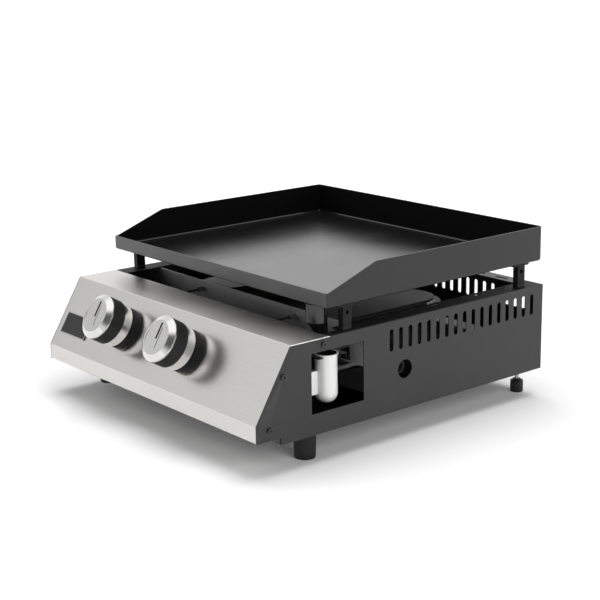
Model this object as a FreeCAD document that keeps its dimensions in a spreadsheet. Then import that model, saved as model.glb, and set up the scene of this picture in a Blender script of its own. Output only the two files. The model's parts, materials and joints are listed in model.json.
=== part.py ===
import FreeCAD, Part
import math
import os

import Sketcher
from FreeCAD import Placement, Rotation, Vector

# Table-top gas griddle with two burners.
# Millimetres. +X is the griddle's right side, +Y its back and +Z up, with the ground at zero.
# Positions along Y are counted from the front lip, and each piece's placement then moves the whole
# griddle so that the origin lies under the middle of it.

SIZES = {
    # Cabinet: two side panels with a sloping front corner
    "cabinet_width": 438.0,
    "cabinet_depth": 458.9,
    "cabinet_top": 145.9,
    "floor_height": 35.6,
    "lip_bottom": 44.2,
    "lip_top": 64.1,
    "slope_run": 49.8,
    "step_back": 33.9,
    "sheet": 1.2,
    "bend": 1.0,
    "top_flange": 25.5,
    "rear_top_flange": 22.0,
    "spout_notch": 14.0,
    "spout_notch_gap": 2.6,
    "base_flange": 12.0,
    "rear_flange": 14.0,
    "base_flange_rear": 6.0,
    "seam": 0.3,
    "flange_slot_length": 20.4,
    "flange_slot_width": 4.0,
    "side_slot_inset": 19.0,
    "side_slot_first": 193.9,
    "side_slot_end": 63.5,
    "side_slot_count": 6,
    "rear_slot_inset": 12.6,
    "rear_slot_end": 57.8,
    "rear_slot_count": 9,
    # Stainless front panel
    "skin": 1.0,
    "front_flange_back": 105.9,
    "front_hem": 8.0,
    "front_band": 14.0,
    "front_bend": 1.6,
    # Window and vents
    "window_front": 78.3,
    "window_back": 155.7,
    "window_drop": 15.1,
    "window_height": 70.5,
    "vent_width": 6.0,
    "vent_length": 26.5,
    "right_vent_first": 198.6,
    "right_vent_count": 17,
    "left_vent_first": 273.6,
    "left_vent_count": 12,
    "side_vent_end": 20.3,
    "side_vent_drop": 23.15,
    "rear_vent_length": 23.7,
    "rear_vent_end": 84.0,
    "rear_vent_drop": 25.7,
    "rear_vent_count": 19,
    "rear_window_start": 28.0,
    "rear_window_end": 63.0,
    "rear_window_round": 3.0,
    "inlet_hole_radius": 11.25,
    "inlet_back": 220.0,
    "inlet_height": 84.4,
    # Griddle plate
    "tray_width": 431.8,
    "tray_front": 103.1,
    "tray_depth": 357.2,
    "tray_rise": 29.9,
    "tray_lip": 17.6,
    "tray_side": 43.5,
    "tray_flat": 5.0,
    "tray_knee": 76.7,
    "tray_knee_radius": 14.0,
    "tray_wall": 2.5,
    "tray_floor": 4.0,
    "tray_corner": 6.0,
    "tray_edge": 3.0,
    "tray_fillet": 4.0,
    # Legs under the plate
    "leg_inset": 6.9,
    "leg_front_inset": 33.4,
    "leg_rear_inset": 35.6,
    "leg_width": 8.0,
    "leg_length": 12.6,
    "leg_wall": 1.4,
    "leg_pad": 2.4,
    "leg_pad_length": 26.0,
    "leg_cap": 4.2,
    "leg_hole_radius": 2.3,
    "leg_hole_drop": 7.0,
    # Drain spout and grease cup
    "spout_inset": 31.9,
    "spout_back": 12.9,
    "spout_radius": 12.4,
    "spout_wall": 1.2,
    "spout_drop": 21.5,
    "nozzle_inset": 22.9,
    "nozzle_back": 15.4,
    "nozzle_radius": 4.8,
    "nozzle_drop": 39.8,
    "nozzle_length": 12.5,
    "drain_radius": 9.0,
    "cup_inset": 22.0,
    "cup_front": 118.0,
    "cup_radius": 13.0,
    "cup_drop": 25.9,
    "cup_height": 58.5,
    "cup_wall": 0.8,
    "cup_round": 11.5,
    "cup_rim_radius": 14.6,
    "cup_rim": 1.0,
    "cup_gap": 0.5,
    "cup_tab_length": 14.0,
    "cup_tab_bottom": 12.0,
    "cup_tab_height": 27.5,
    "holder_arm": 7.0,
    "holder_reach": 12.0,
    "holder_tongue": 16.0,
    "holder_tab": 18.0,
    "holder_screw_drop": 13.0,
    # Firebox
    "baffle_front": 158.9,
    "baffle_lap": 3.5,
    "baffle_gap": 0.2,
    "baffle_tab": 12.0,
    "shield_lead": 9.1,
    "shield_end": 14.9,
    "shield_height": 62.0,
    "shield_edge": 8.0,
    "rail_overlap": 18.0,
    "rail_depth": 22.0,
    "rail_drop": 14.0,
    # Burners
    "burner_side": 108.0,
    "burner_lead": 7.1,
    "burner_end": 90.9,
    "burner_radius": 40.0,
    "burner_drop": 43.9,
    "burner_depth": 24.0,
    "burner_round": 9.0,
    "burner_metal": 1.0,
    "burner_rim": 3.0,
    "burner_crown": 6.5,
    "burner_crown_inset": 3.5,
    "burner_crown_round": 3.0,
    "port_pitch": 6.5,
    "port_width": 2.4,
    "port_height": 2.6,
    # Venturi tubes, air shutters and jets
    "venturi_rise": 11.0,
    "venturi_radius": 10.0,
    "venturi_wall": 1.0,
    "venturi_reach": 40.9,
    "venturi_socket": 10.0,
    "air_window_length": 9.0,
    "air_window_width": 10.0,
    "air_window_back": 4.0,
    "shutter_wall": 0.8,
    "shutter_length": 15.0,
    "shutter_tab": 7.0,
    "running_gap": 0.05,
    "jet_radius": 4.0,
    "jet_collar_radius": 6.0,
    "jet_collar": 6.0,
    "jet_length": 12.0,
    "jet_tip": 4.0,
    "jet_bore": 1.0,
    "gas_tube_radius": 3.0,
    "gas_tube_bore": 2.2,
    "gas_tube_bend": 9.0,
    "gas_tube_lead": 0.35,
    # Manifold and gas inlet
    "manifold_radius": 5.5,
    "manifold_bore": 4.3,
    "manifold_left": -96.0,
    "manifold_inset": 54.0,
    "manifold_bend": 20.0,
    "inlet_length": 28.8,
    "inlet_hex": 10.5,
    "inlet_hex_length": 7.0,
    "inlet_barrel": 8.8,
    "inlet_recess": 9.5,
    "inlet_thread_radius": 6.2,
    "inlet_thread_length": 11.0,
    # Valves, in depth behind the sloping panel
    "left_knob_side": -81.1,
    "right_knob_side": 51.4,
    "knob_rise": 51.4,
    "valve_neck_radius": 8.0,
    "valve_radius": 9.0,
    "valve_shoulder": 9.0,
    "valve_length": 42.0,
    "valve_end": 2.0,
    "valve_bore": 5.5,
    "plug_front": 27.0,
    "plug_gap": 0.1,
    "plug_bore": 10.5,
    "plug_port": 1.6,
    "stem_radius": 3.0,
    "stem_tail_radius": 2.5,
    "collar_front": 15.0,
    "collar": 2.0,
    "stem_tail": 16.0,
    "spring_radius": 4.1,
    "spring_wire": 0.8,
    "spring_turns": 6,
    "spigot_radius": 4.0,
    "manifold_offset": 15.5,
    "outlet_depth": 36.0,
    "outlet_length": 15.0,
    "igniter_width": 14.0,
    "igniter_height": 11.0,
    "igniter_front": 10.0,
    "igniter_length": 24.0,
    # Ignition electrodes
    "electrode_inset": 15.0,
    "electrode_rise": 8.0,
    "electrode_radius": 3.0,
    "electrode_reach": 8.9,
    "electrode_length": 22.0,
    "electrode_pin": 0.8,
    "electrode_pin_length": 12.0,
    "lead_radius": 1.2,
    "lead_start": 16.0,
    "lead_end": 18.0,
    "lead_rise": 1.0,
    "lead_bend": 8.0,
    # Knobs, in height above the sloping panel
    "bezel_radius": 26.5,
    "bezel_height": 6.5,
    "bezel_hole": 8.0,
    "panel_hole": 6.5,
    "ring_bottom": 10.0,
    "ring_radius": 27.4,
    "grip_bottom": 22.0,
    "grip_top": 40.0,
    "grip_radius": 28.4,
    "grip_seat": 24.5,
    "grip_ribs": 72,
    "rib_depth": 0.8,
    "rib_width": 1.2,
    "cap_edge": 42.0,
    "cap_top": 47.0,
    "cap_top_radius": 21.5,
    "disc_radius": 19.5,
    "disc_drop": 0.8,
    "knob_wall": 2.5,
    "hub_radius": 7.0,
    "hub_bottom": 8.0,
    "stem_seat": 33.0,
    "pointer_width": 2.6,
    "pointer_length": 20.0,
    "pointer_depth": 1.6,
    "pointer_proud": 0.2,
    "pointer_start": -1.5,
    "groove_width": 0.8,
    "groove_length": 26.0,
    "groove_side": 3.8,
    "groove_depth": 0.5,
    # Bare badge plate
    "badge_inset": 11.5,
    "badge_width": 57.5,
    "badge_rise": 19.0,
    "badge_height": 29.0,
    "badge_thickness": 1.6,
    "badge_rim": 1.3,
    "badge_recess": 0.4,
    # Feet
    "right_foot_inset": 28.6,
    "right_foot_front": 90.9,
    "left_foot_inset": 15.0,
    "left_foot_front": 78.0,
    "foot_radius": 13.4,
    "foot_toe_radius": 12.4,
    "foot_round": 1.0,
    "foot_recess_radius": 5.0,
    "foot_recess": 24.0,
    "leveller_inset": 30.0,
    "leveller_end": 10.9,
    "leveller_radius": 8.2,
    "leveller_height": 15.0,
    "leveller_neck_radius": 5.2,
    "leveller_neck": 2.0,
    "stud_radius": 2.4,
    "stud_top": 52.0,
    "stud_seat": 4.0,
    "nut_flats": 8.0,
    "nut_height": 4.0,
    # Screws
    "screw_radius": 1.9,
    "screw_length": 5.5,
    "screw_head_radius": 3.8,
    "screw_head": 2.0,
    "screw_hole": 2.0,
    "screw_recess": 1.1,
    "screw_recess_width": 1.0,
    "lip_screw_back": 18.7,
    "lip_screw_drop": 8.0,
    "slope_screw_lead": 11.2,
    "slope_screw_drop": 33.3,
    "top_screw_lead": 9.3,
    "top_screw_drop": 7.6,
    "rear_screw_inset": 7.0,
    "rear_screw_low": 26.4,
    "rear_screw_high": 25.9,
}


class Size(float):
    """A length that remembers how it follows from the cells of the sheet."""

    def __new__(cls, value, text):
        size = super().__new__(cls, value)
        size.text = text
        return size

    def __add__(self, other):
        return Size(float(self) + float(other), f"({self.text} + {text_of(other)})")

    def __radd__(self, other):
        return Size(float(other) + float(self), f"({text_of(other)} + {self.text})")

    def __sub__(self, other):
        return Size(float(self) - float(other), f"({self.text} - {text_of(other)})")

    def __rsub__(self, other):
        return Size(float(other) - float(self), f"({text_of(other)} - {self.text})")

    def __mul__(self, other):
        return Size(float(self) * float(other), f"({self.text} * {text_of(other)})")

    __rmul__ = __mul__

    def __truediv__(self, other):
        return Size(float(self) / float(other), f"({self.text} / {text_of(other)})")

    def __neg__(self):
        return Size(-float(self), f"(-1 * {self.text})")


def text_of(number):
    return number.text if isinstance(number, Size) else f"({float(number)!r})"


doc = FreeCAD.newDocument("gas_griddle")
sheet_table = doc.addObject("Spreadsheet::Sheet", "sizes")
for row, (alias, number) in enumerate(SIZES.items(), start=1):
    sheet_table.set(f"A{row}", alias)
    sheet_table.set(f"B{row}", str(number))
    sheet_table.setAlias(f"B{row}", alias)
doc.recompute()


class Cells:
    """The sheet's sizes by name."""

    def __getattr__(self, alias):
        return Size(SIZES[alias], f"sizes.{alias}")


c = Cells()
SIDES = {"left": -1, "right": 1}
parts = []

# Derived places
half_width = c.cabinet_width / 2
inner_half = half_width - c.sheet
pan_bottom = c.floor_height + c.sheet
pan_top = pan_bottom + c.sheet
rear_inside = c.cabinet_depth - c.sheet
leveller_back = c.cabinet_depth - c.leveller_end
foot_places = {"left": (c.left_foot_inset - half_width, c.left_foot_front, c.floor_height),
               "right": (half_width - c.right_foot_inset, c.right_foot_front, pan_bottom)}
window_top = c.cabinet_top - c.window_drop
side_vents = {"left": (c.left_vent_first, c.left_vent_count), "right": (c.right_vent_first, c.right_vent_count)}
# Plate, legs and drain
tray_half = c.tray_width / 2
tray_bottom = c.cabinet_top + c.tray_rise
tray_back = c.tray_front + c.tray_depth
leg_side = tray_half - c.leg_inset
leg_depths = {"front": c.tray_front + c.leg_front_inset, "rear": tray_back - c.leg_rear_inset}
spout_side = tray_half - c.spout_inset
spout_front = c.tray_front + c.spout_back
nozzle_side = tray_half - c.nozzle_inset
nozzle_front = c.tray_front + c.nozzle_back
nozzle_top = tray_bottom - c.nozzle_drop
# Grease cup and its holder
cup_side = half_width - c.cup_inset
cup_top = c.cabinet_top - c.cup_drop
cup_bottom = cup_top - c.cup_height
holder_top = cup_top - c.cup_rim
holder_left = cup_side - c.cup_radius - c.cup_gap - c.holder_arm
holder_screw_side = holder_left + c.holder_tongue / 2
holder_screw_height = holder_top - c.holder_screw_drop
# Burners and what feeds them
burner_front = c.baffle_front + c.burner_lead
burner_back = c.cabinet_depth - c.burner_end
burner_bottom = c.cabinet_top - c.burner_drop
burner_seam = burner_bottom + c.burner_depth
venturi_height = burner_bottom + c.venturi_rise
venturi_front = c.baffle_front - c.venturi_reach
electrode_front = c.baffle_front - c.electrode_reach
electrode_height = burner_seam + c.electrode_rise
inlet_start = inner_half - c.inlet_length
slope_rise = c.cabinet_top - c.lip_top
slope_length = math.hypot(c.slope_run, slope_rise)
slope_y = c.slope_run / slope_length
slope_z = slope_rise / slope_length
tilt = math.degrees(math.atan2(slope_rise, c.slope_run))
knob_y = slope_y * c.knob_rise
knob_z = c.lip_top + slope_z * c.knob_rise
knob_sides = {"left": c.left_knob_side, "right": c.right_knob_side}
front_reach = max(slope_z * c.cap_edge + slope_y * c.grip_radius,
                  slope_z * c.cap_top + slope_y * c.cap_top_radius)
back_reach = max(tray_back, c.cabinet_depth + c.screw_head)
middle_y = (knob_y - front_reach + back_reach) / 2
to_origin = Vector(0, -float(middle_y), 0)


def bind(item, prop, number):
    item.setExpression(prop, text_of(number))


def finish(item, label):
    """Name a finished sub-part, set it over the origin and keep it for export."""
    item.Label = label
    place = item.Placement
    place.Base = place.Base + to_origin
    item.Placement = place
    parts.append(item)
    return item


def new_body(label):
    return doc.addObject("PartDesign::Body", label)


def sketch_on(body, role, offset=0.0):
    plane = next(item for item in body.Origin.OriginFeatures if item.Role == role)
    sketch = body.newObject("Sketcher::SketchObject", "sketch")
    sketch.AttachmentSupport = (plane, [""])
    sketch.MapMode = "FlatFace"
    bind(sketch, "AttachmentOffset.Base.z", offset)
    return sketch


def pin_point(sketch, geometry, point, across, up):
    """Hold a sketch point at bound distances from the sketch's origin."""
    for kind, number in (("DistanceX", across), ("DistanceY", up)):
        rule = sketch.addConstraint(Sketcher.Constraint(kind, -1, 1, geometry, point, float(number)))
        if isinstance(number, Size):
            bind(sketch, f"Constraints[{rule}]", number)


def outline(sketch, points):
    """A closed outline of straight lines."""
    first = sketch.GeometryCount
    count = len(points)
    for index, (across, up) in enumerate(points):
        to_across, to_up = points[(index + 1) % count]
        sketch.addGeometry(Part.LineSegment(Vector(across, up, 0), Vector(to_across, to_up, 0)))
    for index in range(count):
        link = Sketcher.Constraint("Coincident", first + index, 2, first + (index + 1) % count, 1)
        sketch.addConstraint(link)
    for index, (across, up) in enumerate(points):
        pin_point(sketch, first + index, 1, across, up)


def rectangle(sketch, low, high):
    outline(sketch, [low, (high[0], low[1]), high, (low[0], high[1])])


def disc(sketch, across, up, radius):
    circle = sketch.addGeometry(Part.Circle(Vector(across, up, 0), Vector(0, 0, 1), float(radius)))
    pin_point(sketch, circle, 3, across, up)
    rule = sketch.addConstraint(Sketcher.Constraint("Radius", circle, float(radius)))
    bind(sketch, f"Constraints[{rule}]", radius)


def stadium(sketch, low, high, radius):
    """Two half circles about the points low and high, one straight above the other, and their tangents."""
    x, y_low = low
    y_high = high[1]
    top = Part.ArcOfCircle(Part.Circle(Vector(x, y_high, 0), Vector(0, 0, 1), float(radius)), 0, math.pi)
    base = Part.ArcOfCircle(Part.Circle(Vector(x, y_low, 0), Vector(0, 0, 1), float(radius)),
                            math.pi, 2 * math.pi)
    left, right = float(x) - float(radius), float(x) + float(radius)
    arc_top = sketch.addGeometry(top)
    side_left = sketch.addGeometry(Part.LineSegment(Vector(left, y_high, 0), Vector(left, y_low, 0)))
    arc_base = sketch.addGeometry(base)
    side_right = sketch.addGeometry(Part.LineSegment(Vector(right, y_low, 0), Vector(right, y_high, 0)))
    loop = [(arc_top, side_left), (side_left, arc_base), (arc_base, side_right), (side_right, arc_top)]
    for before, after in loop:
        sketch.addConstraint(Sketcher.Constraint("Tangent", before, 2, after, 1))
    pin_point(sketch, arc_top, 3, x, y_high)
    pin_point(sketch, arc_base, 3, x, y_low)
    rule = sketch.addConstraint(Sketcher.Constraint("Radius", arc_top, float(radius)))
    bind(sketch, f"Constraints[{rule}]", radius)


def pad(body, sketch, length, both_ways=False):
    feature = body.newObject("PartDesign::Pad", "pad")
    feature.Profile = sketch
    bind(feature, "Length", length)
    if both_ways:
        feature.SideType = "Symmetric"
    return feature


def pocket_through(body, sketch):
    feature = body.newObject("PartDesign::Pocket", "pocket")
    feature.Profile = sketch
    feature.Type = "ThroughAll"
    feature.SideType = "Symmetric"
    return feature


def pocket_down(body, sketch, depth):
    """Cut from the sketch against its normal."""
    feature = body.newObject("PartDesign::Pocket", "pocket")
    feature.Profile = sketch
    bind(feature, "Length", depth)
    return feature


def turn(body, sketch):
    feature = body.newObject("PartDesign::Revolution", "turning")
    feature.Profile = sketch
    feature.ReferenceAxis = (sketch, ["V_Axis"])
    feature.Angle = 360
    return feature


def row_of(body, feature, axis, span, count):
    pattern = body.newObject("PartDesign::LinearPattern", "row")
    pattern.Originals = [feature]
    pattern.Direction = (feature.Profile[0], [axis])
    bind(pattern, "Length", span)
    bind(pattern, "Occurrences", count)
    body.Tip = pattern
    return pattern


def round_edges(body, radius, wanted):
    """Fillet the edges of the body's shape whose end points and middle pass the test."""
    doc.recompute()
    base = body.Tip
    names = []
    for number, edge in enumerate(base.Shape.Edges, start=1):
        middle = edge.valueAt((edge.FirstParameter + edge.LastParameter) / 2)
        if wanted(edge, middle):
            names.append(f"Edge{number}")
    if not names:
        raise ValueError(f"no edge to round on {body.Label}")
    feature = body.newObject("PartDesign::Fillet", "fillet")
    feature.Base = (base, names)
    bind(feature, "Radius", radius)
    return feature


def near(first, second, slack=0.02):
    return abs(float(first) - float(second)) < slack


def lies_along(edge, axis):
    if len(edge.Vertexes) < 2 or edge.Curve.TypeId != "Part::GeomLine":
        return False
    step = edge.Vertexes[-1].Point - edge.Vertexes[0].Point
    return abs(step.normalize().dot(axis)) > 0.9999


X_AXIS, Y_AXIS, Z_AXIS = Vector(1, 0, 0), Vector(0, 1, 0), Vector(0, 0, 1)


def folded(path, thickness):
    """The closed section of a sheet folded along a path, with its metal to the right of the path."""
    normals = []
    for (y_from, z_from), (y_to, z_to) in zip(path, path[1:]):
        run = math.hypot(y_to - y_from, z_to - z_from)
        normals.append(((z_to - z_from) / run, -(y_to - y_from) / run))
    inside = []
    for index, (y, z) in enumerate(path):
        before = normals[max(index - 1, 0)]
        after = normals[min(index, len(normals) - 1)]
        share = 1 + before[0] * after[0] + before[1] * after[1]
        shift_y = (before[0] + after[0]) / share
        shift_z = (before[1] + after[1]) / share
        inside.append((y + thickness * float(shift_y), z + thickness * float(shift_z)))
    return path + inside[::-1]


def cylinder(radius, length, base, direction=Z_AXIS):
    item = doc.addObject("Part::Cylinder", "cylinder")
    bind(item, "Radius", radius)
    bind(item, "Height", length)
    item.Placement = Placement(Vector(), Rotation(Z_AXIS, direction))
    for letter, number in zip("xyz", base):
        bind(item, f"Placement.Base.{letter}", number)
    return item


def block(low, high):
    item = doc.addObject("Part::Box", "block")
    for prop, start, end in zip(("Length", "Width", "Height"), low, high):
        bind(item, prop, end - start)
    for letter, number in zip("xyz", low):
        bind(item, f"Placement.Base.{letter}", number)
    return item


def loose(item):
    """A bound primitive inside a group whose placement is still free."""
    return grouped(item)


def joined(*items):
    item = doc.addObject("Part::MultiFuse", "joined")
    item.Shapes = list(items)
    return item


def grouped(*items):
    item = doc.addObject("Part::Compound", "group")
    item.Links = list(items)
    return item


def cut_from(base, *tools):
    item = doc.addObject("Part::Cut", "cut")
    item.Base = base
    item.Tool = tools[0] if len(tools) == 1 else grouped(*tools)
    return item


def on_slope(side, rise=c.knob_rise, depth=0.0):
    """Where local Z stands out of the sloping panel and local Y climbs it."""
    y = slope_y * rise + slope_z * depth
    z = c.lip_top + slope_z * rise - slope_y * depth
    return Placement(Vector(float(side), float(y), float(z)), Rotation(X_AXIS, tilt))


def rounded_corner(enter, corner, leave):
    """The arc that is tangent to two runs at points equally far from their corner."""
    back = (enter - corner).normalize()
    ahead = (leave - corner).normalize()
    half_turn = (math.pi - back.getAngle(ahead)) / 2
    radius = (enter - corner).Length / math.tan(half_turn)
    bisector = (back + ahead).normalize()
    middle = corner + bisector * (radius / math.cos(half_turn) - radius)
    return Part.Arc(enter, middle, leave).toShape()


def swept(edges, radius):
    """A round bar along tangent edges, whose volume is its section times its length."""
    first = edges[0]
    heading = first.tangentAt(first.FirstParameter)
    ring = Part.Wire(Part.makeCircle(float(radius), first.valueAt(first.FirstParameter), heading))
    solid = Part.Wire(edges).makePipeShell([ring], True, False)
    expected = math.pi * float(radius) ** 2 * sum(edge.Length for edge in edges)
    if abs(solid.Volume - expected) > 0.01 * expected:
        raise ValueError(f"a sweep of {expected:.0f} cubic mm came out as {solid.Volume:.0f}")
    return solid


def tube(points, bend, radius, bore=0.0):
    """A round tube along straight runs joined by tangent arcs of the given radius."""
    edges = []
    start = points[0]
    for before, corner, after in zip(points, points[1:], points[2:]):
        back = (before - corner).normalize()
        ahead = (after - corner).normalize()
        reach = float(bend) * math.tan((math.pi - back.getAngle(ahead)) / 2)
        enter = corner + back * reach
        leave = corner + ahead * reach
        edges.append(Part.LineSegment(start, enter).toShape())
        edges.append(rounded_corner(enter, corner, leave))
        start = leave
    edges.append(Part.LineSegment(start, points[-1]).toShape())
    solid = swept(edges, radius)
    return solid.cut(swept(edges, bore)) if bore else solid


def coil(radius, rise, turns, wire, steps=8):
    """A coiled wire about Z made of tangent arcs, with its middle line starting at height zero."""
    count = int(turns) * steps
    reach = float(radius) / math.cos(math.pi / steps)
    corners = []
    for index in range(count + 2):
        angle = 2 * math.pi * (index - 0.5) / steps
        height = float(rise) * (index - 0.5) / count
        corners.append(Vector(reach * math.cos(angle), reach * math.sin(angle), height))
    joints = [(first + second) / 2 for first, second in zip(corners, corners[1:])]
    edges = [rounded_corner(*points) for points in zip(joints, corners[1:], joints[1:])]
    return swept(edges, wire)


def feature(shape):
    item = doc.addObject("Part::Feature", "shape")
    item.Shape = shape
    return item


def side_screw_places():
    """Where the screws enter each side panel, as distance from the front lip and height."""
    return [(c.lip_screw_back, c.lip_top - c.lip_screw_drop),
            (c.slope_run - c.slope_screw_lead, c.cabinet_top - c.slope_screw_drop),
            (c.front_flange_back - c.top_screw_lead, c.cabinet_top - c.top_screw_drop)]


def rear_screw_heights():
    return [c.floor_height + c.rear_screw_low, c.cabinet_top - c.rear_screw_high]


def ordered(sign, near_middle, far_out):
    """The low and high X of something between two distances from the middle, on one side."""
    return (near_middle, far_out) if sign > 0 else (-far_out, -near_middle)


def side_panel(name):
    sign = SIDES[name]
    body = new_body(f"side_panel_{name}")
    wall = sketch_on(body, "YZ_Plane", ordered(sign, inner_half, half_width)[0])
    outline(wall, [(0.0, c.lip_bottom), (0.0, c.lip_top), (c.slope_run, c.cabinet_top),
                   (c.cabinet_depth, c.cabinet_top), (c.cabinet_depth, c.floor_height),
                   (c.step_back, c.floor_height), (c.step_back, c.lip_bottom)])
    pad(body, wall, c.sheet)
    for height, width, start in ((c.cabinet_top - c.sheet, c.top_flange, c.front_flange_back + c.seam),
                                 (c.floor_height, c.base_flange, c.step_back + c.sheet)):
        flange = sketch_on(body, "XY_Plane", height)
        low, high = ordered(sign, half_width - width, half_width - c.sheet / 2)
        rectangle(flange, (low, start), (high, rear_inside))
        pad(body, flange, c.sheet)
    low, high = ordered(sign, half_width - c.rear_flange, half_width - c.sheet / 2)
    rear = sketch_on(body, "XZ_Plane", -rear_inside)
    rectangle(rear, (low, c.floor_height), (high, c.cabinet_top - c.sheet / 2))
    pad(body, rear, c.sheet)
    openings = sketch_on(body, "YZ_Plane")
    for back, height in side_screw_places():
        disc(openings, back, height, c.screw_hole)
    if name == "right":
        rectangle(openings, (c.window_front, window_top - c.window_height), (c.window_back, window_top))
        disc(openings, c.inlet_back, c.inlet_height, c.inlet_hole_radius)
    pocket_through(body, openings)
    if name == "right":
        notch = sketch_on(body, "XY_Plane", c.cabinet_top)
        rectangle(notch, (half_width - c.top_flange - c.sheet, c.front_flange_back),
                  (half_width - c.spout_notch, spout_front + c.spout_radius + c.spout_notch_gap))
        pocket_down(body, notch, c.sheet)
    first_vent, vents = side_vents[name]
    middle = c.cabinet_top - c.side_vent_drop
    vent = sketch_on(body, "YZ_Plane")
    half_straight = (c.vent_length - c.vent_width) / 2
    stadium(vent, (first_vent, middle - half_straight), (first_vent, middle + half_straight), c.vent_width / 2)
    row_of(body, pocket_through(body, vent), "H_Axis", c.cabinet_depth - c.side_vent_end - first_vent, vents)
    slot_side = sign * (half_width - c.side_slot_inset)
    slot = sketch_on(body, "XY_Plane", c.cabinet_top)
    straight = c.flange_slot_length - c.flange_slot_width
    stadium(slot, (slot_side, c.side_slot_first), (slot_side, c.side_slot_first + straight),
            c.flange_slot_width / 2)
    row_of(body, pocket_down(body, slot, c.sheet), "V_Axis",
           c.cabinet_depth - c.side_slot_end - c.side_slot_first, c.side_slot_count)
    bolts = sketch_on(body, "XZ_Plane", -rear_inside)
    for height in rear_screw_heights():
        disc(bolts, sign * (half_width - c.rear_screw_inset), height, c.screw_hole)
    cut = pocket_down(body, bolts, c.sheet)
    cut.Reversed = True
    round_edges(body, c.bend, lambda edge, middle: lies_along(edge, Y_AXIS)
                and near(middle.x, sign * half_width) and near(middle.z, c.cabinet_top))
    finish(body, f"side_panel_{name}")


def rear_panel():
    body = new_body("rear_panel")
    wall = sketch_on(body, "XZ_Plane", -c.cabinet_depth)
    rectangle(wall, (-inner_half, c.floor_height), (inner_half, c.cabinet_top))
    pad(body, wall, c.sheet)
    top_half = half_width - c.top_flange - c.seam
    top = sketch_on(body, "XY_Plane", c.cabinet_top - c.sheet)
    rectangle(top, (-top_half, c.cabinet_depth - c.rear_top_flange), (top_half, c.cabinet_depth - c.sheet / 2))
    pad(body, top, c.sheet)
    base_half = half_width - c.rear_flange - c.seam
    base = sketch_on(body, "XY_Plane", c.floor_height)
    rectangle(base, (-base_half, rear_inside - c.base_flange_rear), (base_half, c.cabinet_depth - c.sheet / 2))
    pad(body, base, c.sheet)
    bolts = sketch_on(body, "XZ_Plane", -c.cabinet_depth)
    for sign in SIDES.values():
        for height in rear_screw_heights():
            disc(bolts, sign * (half_width - c.rear_screw_inset), height, c.screw_hole)
    pocket_through(body, bolts)
    middle = c.cabinet_top - c.rear_vent_drop
    window = sketch_on(body, "XZ_Plane", -c.cabinet_depth)
    rectangle(window, (half_width - c.rear_window_end, middle - c.rear_vent_length / 2),
              (half_width - c.rear_window_start, middle + c.rear_vent_length / 2))
    pocket_through(body, window)
    round_edges(body, c.rear_window_round, lambda edge, middle: lies_along(edge, Y_AXIS)
                and middle.x > half_width - c.rear_window_end - c.sheet
                and middle.x < half_width - c.rear_window_start + c.sheet
                and c.floor_height * 2 < middle.z < c.cabinet_top - c.sheet * 2)
    first_vent = c.rear_vent_end - half_width
    half_straight = (c.rear_vent_length - c.vent_width) / 2
    vent = sketch_on(body, "XZ_Plane", -c.cabinet_depth)
    stadium(vent, (first_vent, middle - half_straight), (first_vent, middle + half_straight), c.vent_width / 2)
    row_of(body, pocket_through(body, vent), "H_Axis", first_vent * -2, c.rear_vent_count)
    first_slot = c.rear_slot_end - half_width
    slot = sketch_on(body, "XY_Plane", c.cabinet_top)
    slot_y = c.cabinet_depth - c.rear_slot_inset
    half_slot = c.flange_slot_length / 2
    rectangle(slot, (first_slot - half_slot, slot_y - c.flange_slot_width / 2),
              (first_slot + half_slot, slot_y + c.flange_slot_width / 2))
    row_of(body, pocket_down(body, slot, c.sheet), "H_Axis", first_slot * -2, c.rear_slot_count)
    round_edges(body, c.bend, lambda edge, middle: lies_along(edge, X_AXIS)
                and near(middle.y, c.cabinet_depth) and near(middle.z, c.cabinet_top))
    finish(body, "rear_panel")


def bottom_pan():
    body = new_body("bottom_pan")
    floor = sketch_on(body, "YZ_Plane")
    outline(floor, folded([(rear_inside - c.sheet, pan_top), (c.step_back, pan_top),
                           (c.step_back, c.lip_bottom)], -c.sheet))
    pad(body, floor, inner_half * 2, both_ways=True)
    holes = sketch_on(body, "XY_Plane", pan_top)
    for name in SIDES:
        foot_x, foot_y, _ = foot_places[name]
        disc(holes, foot_x, foot_y, c.screw_hole)
        stud_x, stud_y = leveller_place(name)
        disc(holes, stud_x, stud_y, c.stud_radius + c.running_gap)
    pocket_through(body, holes)
    finish(body, "bottom_pan")


def front_panel():
    body = new_body("front_skin")
    return_back = c.step_back + c.sheet * 2
    face = [(return_back, c.lip_bottom), (0.0, c.lip_bottom), (0.0, c.lip_top),
            (c.slope_run, c.cabinet_top), (c.front_flange_back, c.cabinet_top)]
    skin = sketch_on(body, "YZ_Plane")
    hem = (c.front_flange_back, c.cabinet_top - c.front_hem)
    outline(skin, folded(face + [hem], c.skin))
    pad(body, skin, inner_half * 2, both_ways=True)
    for sign in SIDES.values():
        band = sketch_on(body, "YZ_Plane", ordered(sign, inner_half - c.skin, inner_half)[0])
        outline(band, folded(face, c.front_band))
        pad(body, band, c.skin)
    screws = sketch_on(body, "YZ_Plane")
    for back, height in side_screw_places():
        disc(screws, back, height, c.screw_hole)
    pocket_through(body, screws)
    corners = [(0.0, c.lip_bottom), (0.0, c.lip_top), (c.slope_run, c.cabinet_top),
               (c.front_flange_back, c.cabinet_top)]
    round_edges(body, c.front_bend, lambda edge, middle: lies_along(edge, X_AXIS)
                and any(near(middle.y, y) and near(middle.z, z) for y, z in corners))
    tools = []
    for side in knob_sides.values():
        tool = loose(cylinder(c.panel_hole, c.skin * 4, (0.0, 0.0, -c.skin * 2)))
        tool.Placement = on_slope(side)
        tools.append(tool)
    finish(cut_from(body, *tools), "front_panel")


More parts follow.
